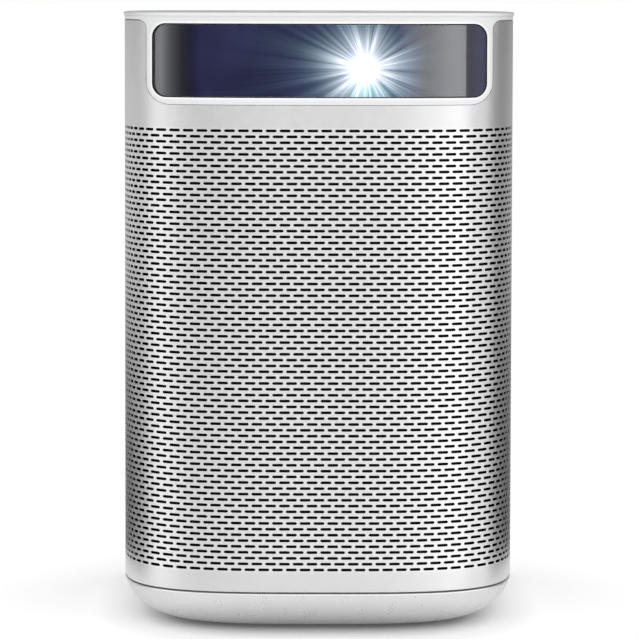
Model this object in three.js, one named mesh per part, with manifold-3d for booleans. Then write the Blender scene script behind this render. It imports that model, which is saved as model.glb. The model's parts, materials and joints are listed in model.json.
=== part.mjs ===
// Home projector: a palm-size upright projector in a perforated aluminium sleeve.
// Millimetres, +Z up, origin at the centre of the resting face, window towards -Y, ports towards +Y.

import * as THREE from 'three';
import { mergeVertices } from 'three/addons/utils/BufferGeometryUtils.js';
import Module from 'manifold-3d';

const wasm = await Module();
wasm.setup();

// ---------- Driving dimensions ----------

// Body outline: a superellipse, the same at every height between base and cap.
const HALF_WIDTH = 47.25;
const HALF_DEPTH = 52.75;
const OUTLINE_POWER = 3.5;
const OUTLINE_STEPS = 44;
const HEIGHT = 146.0;

// Room kept between neighbouring pieces.
const GAP = 0.3;

// Joined lumps sink this far into each other, and cutting tools run this far past what they cut.
const OVERLAP = 0.5;
const PAST = 1;

// Depths between which an outline drawn on the front or on the rear face acts.
const FRONT_ZONE = [-HALF_DEPTH - 5, -25];
const REAR_ZONE = [30, HALF_DEPTH + 5];

// Base shell and foot.
const BASE_BOTTOM = 0.3;
const SEAM_Z = 9.15;
const BASE_CURVE_WIDTH = 12.5;
const BASE_CURVE_HEIGHT = 10.6;
const BASE_WALL = 2.2;
const BASE_LIP_WALL = 1.1;
const BASE_LIP_TOP = 11.6;
const FOOT_INSET_OUTER = 15.5;
const FOOT_INSET_INNER = 27;
const FOOT_RECESS = 1.6;

// Sleeve.
const SLEEVE_WALL = 1.2;
const SLEEVE_BOTTOM = SEAM_Z + GAP;
const SLEEVE_TOP = 144.1;
const NOTCH_HALF_WIDTH = 41.1;
const NOTCH_BOTTOM = 124.3;
const NOTCH_CORNER = 5.5;
const NOTCH_FLARE = 1.2;

// Cap, window bezel and window.
const CAP_BOTTOM = SLEEVE_TOP + GAP;
const CAP_RIM_PROUD = 0.25;
const CAP_SKIRT_WALL = 1.2;
const CAP_SKIRT_DROP = 4;
const BEZEL_DEPTH = 4.3;
const POCKET_DEPTH = 3.1;
const POCKET = { half: 39.6, low: 126.0, high: 143.4, corner: 3.3 };
const SIGHT = { half: 38.4, low: 127.3, high: 142.2, corner: 2.4 };
const WINDOW_FRONT = 0.5;
const WINDOW_THICKNESS = 1.5;
const WINDOW_PLAY = 0.25;
const GASKET_THICKNESS = 0.5;
const SHIELD = { half: 37.6, low: 125.2, high: 143.6, corner: 3 };
const SHIELD_FRONT = 4.7;
const SHIELD_THICKNESS = 1.2;

// Top keys.
const KEY_X = [-16, 0, 16];
const KEY_RADIUS = 5.5;
const KEY_Y = 0;
const KEY_STEM_RADIUS = 1.6;
const KEY_FLANGE = { reach: 1.2, thickness: 1.0 };
const KEY_TOP = HEIGHT - 0.1;
const KEY_BOARD_TOP = 139.6;
const KEY_BOARD = { halfWidth: 27, halfDepth: 9, thickness: 1.6 };

// Inner housing, floor and the frame that carries the optics.
const HOUSING_INSET = 3.0;
const HOUSING_WALL = 1.8;
const HOUSING_BOTTOM = 11.6;
const HOUSING_FLOOR = 13.5;
const HOUSING_TOP = 122;
const FRAME_BOTTOM = 110;
const FRAME_TOP = 112.7;
const LEDGE_WIDTH = 2.4;
const LEDGE_THICKNESS = 2;
const VENTS = { count: 5, lowest: 78, pitch: 6, height: 3, half: 16 };
const CABLE_HOLE = { x: 36, half: 2.5, front: 2, back: 18 };

// Screws and tripod thread in the base.
const SCREW_X = 24;
const SCREW_Y = 27;
const SCREW_HEAD = { radius: 2.3, low: 3.7, high: 5.3, drive: 0.9 };
const SCREW_SHANK = { radius: 1.25, taper: 19.6, end: 20.2 };
const SCREW_BOSS = { radius: 4.4, headHole: 2.7, seat: 5.6, shankHole: 1.7 };
const SCREW_POST = { radius: 3.2, top: 22, hole: 1.55, holeTop: 20.8 };
const TRIPOD_BOSS_WALL = 2.2;
const TRIPOD_THREAD_RADIUS = 3.175;
const TRIPOD_INSERT_RADIUS = 5.6;
const TRIPOD_INSERT_TOP = 8.6;
const TRIPOD_THREAD_DEPTH = 6.9;

// Projection lens: its axis lies along Y.
const LENS = { x: 10, z: 132.4 };
const BARREL_FRONT = -44;
const BARREL_BACK = -22;
const BARREL_RADIUS = 7.5;
const BARREL_BORE = 6.7;
const BARREL_FLANGE = { reach: 1.8, thickness: 2, bore: 4.6, lip: 1.6 };
const LENS_CELL = { radius: 6.5, bore: 5.9, mouth: 5.0, length: 10, lip: 1 };

// Focus gears.
const GEAR_MODULE = 0.6;
const RING_TEETH = 32;
const PINION_TEETH = 12;
const PRESSURE_ANGLE = THREE.MathUtils.degToRad(25);
const BACKLASH = 0.14;
const PINION_DIRECTION = THREE.MathUtils.degToRad(205);
const GEAR_FRONT = -36;
const GEAR_BACK = -31;
const MOTOR = { radius: 4.0, length: 5.6, earHalf: 6.5, earThickness: 0.8, shaft: 0.75, shaftHole: 1.05 };

// Optical engine.
const ENGINE = { left: -10, right: 32, front: -21.7, back: 12, low: 113.1, high: 136.5 };
const ENGINE_SNOUT_HALF = 14;
const ENGINE_FEET = { reach: 3, half: 8, height: 3 };
const LED_Z = 125;
const LED = { redY: -6, blueY: 5, greenX: 22, half: 5, rise: 7, plate: 2.6, dome: 2.6, domeSunk: 1.8 };
const LED_POCKET = { radius: 3.4, depth: 2.6 };
const IMAGER = { halfHeight: 4, z: 124, front: -8, back: 2, depth: 8 };

// Fan and heat sink share one vertical axis.
const FAN = { x: 0, y: 23, low: 98, high: 108, half: 20, bore: 18.3 };
const SINK = { half: 20, front: 19, back: 44, low: 113.1, high: 135 };
const SINK_FINS = 10;
const FIN_THICKNESS = 1.2;
const PIPE_RADIUS = 2.4;
const PIPE_X = 37.3;
const PIPE_Y = 31;
const PIPE_START = -12;
const PIPE_BEND = 9;
const FAN_HUB = { outer: 8.5, rotor: 8, plate: 1.6, rise: 2.1 };
const FAN_BLADES = { count: 7, inner: 7, clearance: 0.9, half: 4.4, thickness: 1.0, middle: 5.6 };

// Battery.
const CELL_RADIUS = 9.2;
const CELL_PITCH = 19.4;
const CELL_BOTTOM = 16;
const CELL_LENGTH = 65;
const BATTERY_Y = -6;
const TRAY_TOP = 24;
const TRAY_WALL = 1.6;
const CELL_CAP = { radius: 3, height: 1.2 };

// Main board, standing behind the battery; chips are given on its rear face.
const MAIN_BOARD = { half: 30, front: 20, back: 21.6, low: 48, high: 94 };
const CHIPS = [
  { left: -9, right: 9, low: 62, high: 80, height: 2.2 },
  { left: 14, right: 22, low: 60, high: 70, height: 1.4 },
  { left: 14, right: 22, low: 74, high: 84, height: 1.4 },
  { left: -26, right: -16, low: 64, high: 76, height: 3 },
  { left: -25, right: 25, low: 50, high: 54, height: 4 },
];

// Speakers face left and right.
const SPEAKER = { front: 40.4, y: -5, z: 50, radius: 20 };

// Rear panel and its ports.
const PANEL = { half: 28, low: 13.3, high: 44.7, corner: 4 };
const PANEL_FRONT = 0.4;
const PANEL_BACK = 2.2;
const PORT_BOARD = { half: 27, front: 31.2, back: 46.5, low: 18.0, high: 19.6 };
const PORT_FLOOR = 20.0;
const DC = { x: -19, width: 9, height: 8.4, bore: 3.0, collar: 3.9, body: 47.8, front: 51.2 };
const DC_PIN = { radius: 1.0, back: 37.5, front: 50.2 };
const HDMI = { x: -5.5, width: 14.6, height: 5.6, back: 39, front: 51.2, tongue: [22.2, 23.6] };
const USB = { x: 10.5, width: 13.2, height: 5.8, back: 37, front: 51.0, tongue: [23.1, 24.9] };
const AUDIO = { x: 21.5, width: 6.4, height: 5.6, bore: 1.75, collar: 2.6, body: 47.4, front: 50.6 };
const SOCKET_BACK = 37;
const SHELL_THICKNESS = 0.45;
const POWER = { x: 0, z: 37, radius: 4.8, face: 52.1 };
const POWER_STEM = { radius: 1.5, end: 46.6, flangeBack: 48.4, flangeFront: 49.8 };
const POWER_BOARD = { left: -8, right: 14, front: 42.4, back: 44, half: 5 };
const POWER_SWITCH = { half: 3, face: 45.7 };
const STATUS = { x: 10, z: 37, radius: 1.0, back: 44.4, front: 51.9 };

// Focus camera and remote receiver, both on one small board behind the window.
const CAMERA = { x: -20, z: 136.1, radius: 3.2, half: 4, bore: 1.5, reach: 11 };
const RECEIVER = { x: -28, z: 132, radius: 2.2, halfWidth: 2.6, halfHeight: 3, reach: 7 };
const SENSOR_BOARD = { left: -31.5, right: -15, front: -33, thickness: 1.2, low: 127, high: 141 };
const SENSOR_BODY_DEPTH = 4;

// ---------- Materials ----------

function material(color, roughness, metalness) {
  return new THREE.MeshStandardMaterial({ color, roughness, metalness });
}

const finishes = {
  aluminium: material(0xc9cacc, 0.36, 0.9),
  capWhite: material(0xf1f1f0, 0.42, 0.0),
  baseSilver: material(0xdedfe0, 0.4, 0.15),
  windowGlass: material(0x15171f, 0.05, 0.0),
  lensGlass: material(0xdfe8f2, 0.03, 0.0),
  blackPlastic: material(0x17181a, 0.6, 0.0),
  greyPlastic: material(0x3a3c3f, 0.55, 0.0),
  rubber: material(0x2b2c2e, 0.85, 0.0),
  brass: material(0xb08d4f, 0.35, 1.0),
  steel: material(0xb9bcc0, 0.32, 1.0),
  copper: material(0xb46a45, 0.35, 1.0),
  circuitBoard: material(0x1c5a3a, 0.55, 0.0),
  cellWrap: material(0x3b6ea5, 0.4, 0.0),
  conePaper: material(0x222326, 0.9, 0.0),
  lightPipe: material(0xeef6ff, 0.25, 0.0),
};

// ---------- Solid helpers ----------

function toSolid(geometry) {
  const bare = geometry.clone();
  bare.deleteAttribute('normal');
  bare.deleteAttribute('uv');
  const merged = mergeVertices(bare, 1e-5);
  const vertProperties = new Float32Array(merged.attributes.position.array);
  const triVerts = new Uint32Array(merged.index.array);
  return new wasm.Manifold(new wasm.Mesh({ numProp: 3, vertProperties, triVerts }));
}

function fromSolid(solid) {
  const mesh = solid.getMesh();
  const geometry = new THREE.BufferGeometry();
  geometry.setAttribute('position', new THREE.Float32BufferAttribute(mesh.vertProperties, 3));
  geometry.setIndex(new THREE.Uint32BufferAttribute(mesh.triVerts, 1));
  geometry.computeVertexNormals();
  return geometry;
}

function cut(geometry, ...tools) {
  return fromSolid(tools.reduce((solid, tool) => solid.subtract(toSolid(tool)), toSolid(geometry)));
}

function join(geometry, ...others) {
  return fromSolid(others.reduce((solid, other) => solid.add(toSolid(other)), toSolid(geometry)));
}

function common(geometry, other) {
  return fromSolid(toSolid(geometry).intersect(toSolid(other)));
}

// ---------- Shape helpers ----------

function box(x0, x1, y0, y1, z0, z1) {
  const geometry = new THREE.BoxGeometry(x1 - x0, y1 - y0, z1 - z0);
  return geometry.translate((x0 + x1) / 2, (y0 + y1) / 2, (z0 + z1) / 2);
}

function rodZ(x, y, radius, z0, z1, sides = 24) {
  const geometry = new THREE.CylinderGeometry(radius, radius, z1 - z0, sides);
  return geometry.rotateX(Math.PI / 2).translate(x, y, (z0 + z1) / 2);
}

function rodY(x, z, radius, y0, y1, sides = 24) {
  const geometry = new THREE.CylinderGeometry(radius, radius, y1 - y0, sides);
  return geometry.translate(x, (y0 + y1) / 2, z);
}

function rodX(y, z, radius, x0, x1, sides = 24) {
  const geometry = new THREE.CylinderGeometry(radius, radius, x1 - x0, sides);
  return geometry.rotateZ(Math.PI / 2).translate((x0 + x1) / 2, y, z);
}

/** Solid of revolution about Y; the profile lists [radius, height] counter-clockwise. */
function revolve(profile, sides = 24) {
  const points = profile.map(([radius, height]) => new THREE.Vector2(radius, height));
  return new THREE.LatheGeometry(points, sides);
}

/** A flat outline drawn in X and Z, made solid between two depths in Y. */
function slab(shape, [y0, y1], curveSegments = 4) {
  const settings = { depth: y1 - y0, bevelEnabled: false, curveSegments };
  return new THREE.ExtrudeGeometry(shape, settings).rotateX(Math.PI / 2).translate(0, y1, 0);
}

function roundedRectangle({ centre = 0, half, low, high, corner }) {
  const left = centre - half;
  const right = centre + half;
  const shape = new THREE.Shape();
  shape.moveTo(left + corner, low);
  shape.lineTo(right - corner, low);
  shape.absarc(right - corner, low + corner, corner, -Math.PI / 2, 0);
  shape.lineTo(right, high - corner);
  shape.absarc(right - corner, high - corner, corner, 0, Math.PI / 2);
  shape.lineTo(left + corner, high);
  shape.absarc(left + corner, high - corner, corner, Math.PI / 2, Math.PI);
  shape.lineTo(left, low + corner);
  shape.absarc(left + corner, low + corner, corner, Math.PI, 1.5 * Math.PI);
  return shape;
}

function shrunk(rectangle, amount) {
  return {
    centre: rectangle.centre,
    half: rectangle.half - amount,
    low: rectangle.low + amount,
    high: rectangle.high - amount,
    corner: rectangle.corner - amount,
  };
}

/** Points of the body outline, moved in from the outer surface by an inset. */
function outline(inset) {
  const points = [];
  for (let step = 0; step < OUTLINE_STEPS; step += 1) {
    const angle = (2 * Math.PI * step) / OUTLINE_STEPS;
    const reachX = Math.sign(Math.cos(angle)) * Math.abs(Math.cos(angle)) ** (2 / OUTLINE_POWER);
    const reachY = Math.sign(Math.sin(angle)) * Math.abs(Math.sin(angle)) ** (2 / OUTLINE_POWER);
    points.push([(HALF_WIDTH - inset) * reachX, (HALF_DEPTH - inset) * reachY]);
  }
  return points;
}

/** Skin through outline loops given as [inset, z], with flat caps unless the profile is a closed ring. */
function outlineBody(profile, closedRing = false) {
  const positions = [];
  const index = [];
  for (const [inset, z] of profile) {
    for (const [x, y] of outline(inset)) positions.push(x, y, z);
  }
  const bands = closedRing ? profile.length : profile.length - 1;
  for (let band = 0; band < bands; band += 1) {
    const lower = band * OUTLINE_STEPS;
    const upper = ((band + 1) % profile.length) * OUTLINE_STEPS;
    for (let step = 0; step < OUTLINE_STEPS; step += 1) {
      const next = (step + 1) % OUTLINE_STEPS;
      index.push(lower + step, lower + next, upper + next);
      index.push(lower + step, upper + next, upper + step);
    }
  }
  if (!closedRing) {
    const last = (profile.length - 1) * OUTLINE_STEPS;
    const bottomCentre = positions.length / 3;
    positions.push(0, 0, profile[0][1], 0, 0, profile[profile.length - 1][1]);
    for (let step = 0; step < OUTLINE_STEPS; step += 1) {
      const next = (step + 1) % OUTLINE_STEPS;
      index.push(bottomCentre, next, step);
      index.push(bottomCentre + 1, last + step, last + next);
    }
  }
  const geometry = new THREE.BufferGeometry();
  geometry.setAttribute('position', new THREE.Float32BufferAttribute(positions, 3));
  geometry.setIndex(index);
  geometry.computeVertexNormals();
  return geometry;
}

function wall(insetOuter, insetInner, low, high) {
  const ring = [[insetOuter, low], [insetOuter, high], [insetInner, high], [insetInner, low]];
  return outlineBody(ring, true);
}

function block(inset, low, high) {
  return outlineBody([[inset, low], [inset, high]]);
}

// ---------- Assembly ----------

const projector = new THREE.Group();
projector.name = 'home_projector';

function addPart(name, geometry, finish, parent = projector) {
  const mesh = new THREE.Mesh(geometry, finish);
  mesh.name = name;
  parent.add(mesh);
  return mesh;
}

// ---------- Base ----------

/** Inset and height of the base shell's curve, from the flat bottom up to the seam. */
function baseCurve() {
  const steps = 5;
  const start = Math.asin(1 - (SEAM_Z - BASE_BOTTOM) / BASE_CURVE_HEIGHT);
  const profile = [];
  for (let step = steps; step >= 0; step -= 1) {
    const angle = start + ((Math.PI / 2 - start) * step) / steps;
    const inset = BASE_CURVE_WIDTH * (Math.cos(start) - Math.cos(angle));
    profile.push([inset, SEAM_Z - BASE_CURVE_HEIGHT * (Math.sin(angle) - Math.sin(start))]);
  }
  return profile;
}

/** The hollow inside the base shell: it follows the outer curve, a wall's thickness in. */
function baseCavity(floor) {
  return outlineBody([
    [BASE_CURVE_WIDTH + BASE_WALL, floor],
    [0.45 * BASE_CURVE_WIDTH + BASE_WALL, floor + 1.2],
    [0.14 * BASE_CURVE_WIDTH + BASE_WALL, floor + 4],
    [BASE_WALL, SEAM_Z + PAST],
  ]);
}

function addBase() {
  const cavityFloor = BASE_BOTTOM + BASE_WALL;
  const footTop = BASE_BOTTOM + FOOT_RECESS;
  const footRecess = wall(FOOT_INSET_OUTER, FOOT_INSET_INNER, BASE_BOTTOM - PAST, footTop);
  const lipInset = SLEEVE_WALL + GAP;
  const lip = wall(lipInset, lipInset + BASE_LIP_WALL, SEAM_Z - 3 * OVERLAP, BASE_LIP_TOP);
  const bossRadius = TRIPOD_INSERT_RADIUS + TRIPOD_BOSS_WALL;
  const tripodBoss = rodZ(0, 0, bossRadius, BASE_BOTTOM + OVERLAP, HOUSING_BOTTOM - 2 * OVERLAP);
  let shell = join(cut(outlineBody(baseCurve()), baseCavity(cavityFloor), footRecess), lip, tripodBoss);
  for (const x of [-SCREW_X, SCREW_X]) {
    for (const y of [-SCREW_Y, SCREW_Y]) {
      const boss = rodZ(x, y, SCREW_BOSS.radius, cavityFloor - OVERLAP, HOUSING_BOTTOM - GAP, 12);
      const headHole = rodZ(x, y, SCREW_BOSS.headHole, BASE_BOTTOM - PAST, SCREW_BOSS.seat, 12);
      const shankLow = SCREW_BOSS.seat - OVERLAP;
      const shankHole = rodZ(x, y, SCREW_BOSS.shankHole, shankLow, HOUSING_BOTTOM + PAST, 8);
      shell = cut(join(shell, boss), headHole, shankHole);
    }
  }
  const insertRadius = TRIPOD_INSERT_RADIUS + GAP;
  shell = cut(shell, rodZ(0, 0, insertRadius, BASE_BOTTOM - PAST, TRIPOD_INSERT_TOP + GAP));
  addPart('base_cover', shell, finishes.baseSilver);

  const foot = wall(FOOT_INSET_OUTER + GAP, FOOT_INSET_INNER - GAP, 0, footTop - GAP);
  addPart('rubber_foot', foot, finishes.rubber);

  const insert = rodZ(0, 0, TRIPOD_INSERT_RADIUS, BASE_BOTTOM, TRIPOD_INSERT_TOP);
  const thread = rodZ(0, 0, TRIPOD_THREAD_RADIUS, BASE_BOTTOM - PAST, BASE_BOTTOM + TRIPOD_THREAD_DEPTH);
  addPart('tripod_insert', cut(insert, thread), finishes.brass);
}

function addBaseScrews() {
  const screw = revolve([
    [0, SCREW_HEAD.low],
    [SCREW_HEAD.radius, SCREW_HEAD.low],
    [SCREW_HEAD.radius, SCREW_HEAD.high],
    [SCREW_SHANK.radius, SCREW_HEAD.high],
    [SCREW_SHANK.radius, SCREW_SHANK.taper],
    [0, SCREW_SHANK.end],
  ], 8).rotateX(Math.PI / 2);
  const drive = rodZ(0, 0, SCREW_HEAD.drive, SCREW_HEAD.low - PAST, SCREW_HEAD.low + PAST, 6);
  const driven = cut(screw, drive);
  let number = 1;
  for (const y of [-SCREW_Y, SCREW_Y]) {
    for (const x of [-SCREW_X, SCREW_X]) {
      addPart(`base_screw_${number}`, driven.clone(), finishes.steel).position.set(x, y, 0);
      number += 1;
    }
  }
}

// ---------- Sleeve ----------

/** Outline of the front notch that the window bezel fills; a gap makes the matching bezel. */
function notchShape(gap) {
  const half = NOTCH_HALF_WIDTH - gap;
  const low = NOTCH_BOTTOM + gap;
  const corner = NOTCH_CORNER - gap;
  const flare = NOTCH_FLARE + gap;
  const top = SLEEVE_TOP + gap;
  const above = top + 0.6;
  const shape = new THREE.Shape();
  shape.moveTo(-half - flare, above);
  shape.lineTo(-half - flare, top);
  shape.absarc(-half - flare, top - flare, flare, Math.PI / 2, 0, true);
  shape.lineTo(-half, low + corner);
  shape.absarc(-half + corner, low + corner, corner, Math.PI, 1.5 * Math.PI);
  shape.lineTo(half - corner, low);
  shape.absarc(half - corner, low + corner, corner, -Math.PI / 2, 0);
  shape.lineTo(half, top - flare);
  shape.absarc(half + flare, top - flare, flare, Math.PI, Math.PI / 2, true);
  shape.lineTo(half + flare, above);
  return shape;
}

function addSleeve() {
  const tube = wall(0, SLEEVE_WALL, SLEEVE_BOTTOM, SLEEVE_TOP);
  const notch = slab(notchShape(0), FRONT_ZONE);
  const panelHole = slab(roundedRectangle(shrunk(PANEL, -GAP)), REAR_ZONE);
  addPart('sleeve', cut(tube, notch, panelHole), finishes.aluminium);
}

// ---------- Cap, keys and window ----------

function addCap() {
  const plate = outlineBody([
    [0, CAP_BOTTOM],
    [0, HEIGHT - 1.0],
    [-CAP_RIM_PROUD, HEIGHT - 0.85],
    [-CAP_RIM_PROUD, HEIGHT - 0.3],
    [0.15, HEIGHT],
  ]);
  const skirtInset = SLEEVE_WALL + GAP;
  const plateFloor = CAP_BOTTOM + GAP;
  const skirtRing = wall(skirtInset, skirtInset + CAP_SKIRT_WALL, CAP_BOTTOM - CAP_SKIRT_DROP, plateFloor);
  const front = box(-NOTCH_HALF_WIDTH, NOTCH_HALF_WIDTH, -HALF_DEPTH, 0, NOTCH_BOTTOM, HEIGHT);
  const skirt = cut(skirtRing, front);
  const bezelRing = wall(0, BEZEL_DEPTH, NOTCH_BOTTOM, plateFloor);
  const bezel = common(bezelRing, slab(notchShape(GAP), FRONT_ZONE));
  const pocketRing = wall(-PAST, POCKET_DEPTH, NOTCH_BOTTOM, HEIGHT);
  const pocket = common(pocketRing, slab(roundedRectangle(POCKET), FRONT_ZONE));
  const sight = slab(roundedRectangle(SIGHT), FRONT_ZONE);
  const keyHoles = KEY_X.map((x) => rodZ(x, KEY_Y, KEY_RADIUS + GAP, CAP_BOTTOM - PAST, HEIGHT + PAST, 16));
  addPart('top_cap', cut(join(plate, skirt, bezel), pocket, sight, ...keyHoles), finishes.capWhite);
}

function addWindow() {
  const pane = slab(roundedRectangle(shrunk(POCKET, WINDOW_PLAY)), FRONT_ZONE);
  const glassWall = wall(WINDOW_FRONT, WINDOW_FRONT + WINDOW_THICKNESS, NOTCH_BOTTOM, CAP_BOTTOM);
  addPart('window', common(glassWall, pane), finishes.windowGlass);

  const gasketFront = WINDOW_FRONT + WINDOW_THICKNESS + GAP;
  const gasketWall = wall(gasketFront, gasketFront + GASKET_THICKNESS, NOTCH_BOTTOM, CAP_BOTTOM);
  const gasketHole = slab(roundedRectangle(shrunk(SIGHT, -0.2)), FRONT_ZONE);
  addPart('window_gasket', cut(common(gasketWall, pane), gasketHole), finishes.rubber);
}

function addLightShield() {
  const shieldWall = wall(SHIELD_FRONT, SHIELD_FRONT + SHIELD_THICKNESS, NOTCH_BOTTOM, CAP_BOTTOM);
  const face = slab(roundedRectangle(SHIELD), FRONT_ZONE);
  const clearance = 0.5;
  const holes = [
    rodY(LENS.x, LENS.z, BARREL_RADIUS + clearance, ...FRONT_ZONE, 16),
    rodY(CAMERA.x, CAMERA.z, CAMERA.radius + clearance, ...FRONT_ZONE, 10),
    rodY(RECEIVER.x, RECEIVER.z, RECEIVER.radius + clearance, ...FRONT_ZONE, 16),
  ];
  addPart('light_shield', cut(common(shieldWall, face), ...holes), finishes.blackPlastic);
}

function addTopKeys() {
  const names = ['volume_down_button', 'play_button', 'volume_up_button'];
  const flangeTop = CAP_BOTTOM - GAP;
  const flangeBottom = flangeTop - KEY_FLANGE.thickness;
  const stemBottom = KEY_BOARD_TOP + 1.0;
  const key = revolve([
    [0, stemBottom],
    [KEY_STEM_RADIUS, stemBottom],
    [KEY_STEM_RADIUS, flangeBottom],
    [KEY_RADIUS + KEY_FLANGE.reach, flangeBottom],
    [KEY_RADIUS + KEY_FLANGE.reach, flangeTop],
    [KEY_RADIUS, flangeTop],
    [KEY_RADIUS, KEY_TOP - 0.3],
    [KEY_RADIUS - 0.4, KEY_TOP],
    [0, KEY_TOP],
  ], 16).rotateX(Math.PI / 2);
  names.forEach((name, number) => {
    addPart(name, key.clone(), finishes.capWhite).position.set(KEY_X[number], KEY_Y, 0);
  });
  const { halfWidth, halfDepth, thickness } = KEY_BOARD;
  const boardLow = KEY_BOARD_TOP - thickness;
  const board = box(-halfWidth, halfWidth, KEY_Y - halfDepth, KEY_Y + halfDepth, boardLow, KEY_BOARD_TOP);
  const domes = KEY_X.map((x) => rodZ(x, KEY_Y, 2.4, KEY_BOARD_TOP - OVERLAP, KEY_BOARD_TOP + 0.3, 8));
  addPart('key_board', join(board, ...domes), finishes.circuitBoard);
}

// ---------- Inner housing and frame ----------

function addInnerHousing() {
  const innerInset = HOUSING_INSET + HOUSING_WALL;
  const bucket = cut(
    block(HOUSING_INSET, HOUSING_BOTTOM, HOUSING_TOP),
    block(innerInset, HOUSING_FLOOR, HOUSING_TOP + PAST),
  );
  const ledgeTop = FRAME_BOTTOM - GAP;
  const ledge = wall(innerInset - 0.2, innerInset + LEDGE_WIDTH, ledgeTop - LEDGE_THICKNESS, ledgeTop);
  let housing = join(bucket, ledge);
  for (const x of [-SCREW_X, SCREW_X]) {
    for (const y of [-SCREW_Y, SCREW_Y]) {
      const post = rodZ(x, y, SCREW_POST.radius, HOUSING_FLOOR - OVERLAP, SCREW_POST.top, 10);
      const hole = rodZ(x, y, SCREW_POST.hole, HOUSING_BOTTOM - PAST, SCREW_POST.holeTop, 8);
      housing = cut(join(housing, post), hole);
    }
  }
  const speakerHole = rodX(SPEAKER.y, SPEAKER.z, SPEAKER.radius - 2, -HALF_WIDTH, HALF_WIDTH, 20);
  const portHalf = PANEL.half + 1;
  const portHole = box(-portHalf, portHalf, 30, HALF_DEPTH, HOUSING_FLOOR + OVERLAP, PANEL.high + 1.5);
  const vents = [];
  for (let vent = 0; vent < VENTS.count; vent += 1) {
    const z = VENTS.lowest + VENTS.pitch * vent;
    vents.push(box(-HALF_WIDTH, HALF_WIDTH, -VENTS.half, VENTS.half, z, z + VENTS.height));
  }
  addPart('inner_housing', cut(housing, speakerHole, portHole, ...vents), finishes.blackPlastic);
}

function addUpperFrame() {
  const low = FRAME_BOTTOM - PAST;
  const high = FRAME_TOP + PAST;
  const plate = block(HOUSING_INSET + HOUSING_WALL + GAP, FRAME_BOTTOM, FRAME_TOP);
  const airHole = rodZ(FAN.x, FAN.y, FAN.bore - 0.6, low, high, 24);
  const { half, front, back } = CABLE_HOLE;
  const cableHole = (x) => box(x - half, x + half, front, back, low, high);
  const cableHoles = [cableHole(-CABLE_HOLE.x), cableHole(CABLE_HOLE.x)];
  addPart('upper_frame', cut(plate, airHole, ...cableHoles), finishes.blackPlastic);
}

// ---------- Lens and focus drive ----------

function involute(angle) {
  return Math.tan(angle) - angle;
}

/** Spur gear outline about the origin with one tooth centred on a given direction. */
function gearShape(teeth, direction) {
  const pitch = (GEAR_MODULE * teeth) / 2;
  const base = pitch * Math.cos(PRESSURE_ANGLE);
  const tip = pitch + 0.8 * GEAR_MODULE;
  const root = pitch - 1.1 * GEAR_MODULE;
  const halfAtPitch = (Math.PI * GEAR_MODULE * 0.5 - BACKLASH) / (2 * pitch);
  const halfAngle = (radius) => {
    const contact = Math.acos(Math.min(1, base / radius));
    return halfAtPitch + involute(PRESSURE_ANGLE) - involute(contact);
  };
  const radii = [root, pitch, tip];
  const points = [];
  for (let tooth = 0; tooth < teeth; tooth += 1) {
    const middle = direction + (2 * Math.PI * tooth) / teeth;
    for (const radius of radii) points.push([radius, middle - halfAngle(radius)]);
    for (const radius of [...radii].reverse()) points.push([radius, middle + halfAngle(radius)]);
  }
  return new THREE.Shape(points.map(([radius, angle]) => {
    return new THREE.Vector2(radius * Math.cos(angle), radius * Math.sin(angle));
  }));
}

function addLens() {
  const flangeRadius = BARREL_RADIUS + BARREL_FLANGE.reach;
  const flangeFront = BARREL_BACK - BARREL_FLANGE.thickness;
  const lipFront = BARREL_BACK - BARREL_FLANGE.lip;
  const barrel = revolve([
    [BARREL_BORE, BARREL_FRONT],
    [BARREL_RADIUS, BARREL_FRONT],
    [BARREL_RADIUS, flangeFront],
    [flangeRadius, flangeFront],
    [flangeRadius, BARREL_BACK],
    [BARREL_FLANGE.bore, BARREL_BACK],
    [BARREL_FLANGE.bore, lipFront],
    [BARREL_BORE, lipFront],
    [BARREL_BORE, BARREL_FRONT],
  ], 24);
  addPart('lens_barrel', barrel.translate(LENS.x, 0, LENS.z), finishes.blackPlastic);

  const rearLens = revolve([[0, -26.3], [3.2, -25.9], [6.3, -25.2], [6.3, -24.2], [0, -24.2]], 16);
  addPart('rear_lens', rearLens.translate(LENS.x, 0, LENS.z), finishes.lensGlass);

  const cellFront = BARREL_FRONT + 2;
  const cellBack = cellFront + LENS_CELL.length;
  const cellLip = cellFront + LENS_CELL.lip;
  const cell = revolve([
    [LENS_CELL.mouth, cellFront],
    [LENS_CELL.radius, cellFront],
    [LENS_CELL.radius, cellBack],
    [LENS_CELL.bore, cellBack],
    [LENS_CELL.bore, cellLip],
    [LENS_CELL.mouth, cellLip],
    [LENS_CELL.mouth, cellFront],
  ], 20);
  addPart('lens_cell', cell.translate(LENS.x, 0, LENS.z), finishes.blackPlastic);

  const glassFront = cellFront + 1.3;
  const frontLens = revolve([
    [0, glassFront - 0.6],
    [2.4, glassFront - 0.45],
    [4.4, glassFront],
    [5.7, glassFront],
    [5.7, glassFront + 2.0],
    [3.0, glassFront + 2.9],
    [0, glassFront + 3.3],
  ], 20);
  addPart('front_lens', frontLens.translate(LENS.x, 0, LENS.z), finishes.lensGlass);
}

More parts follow.
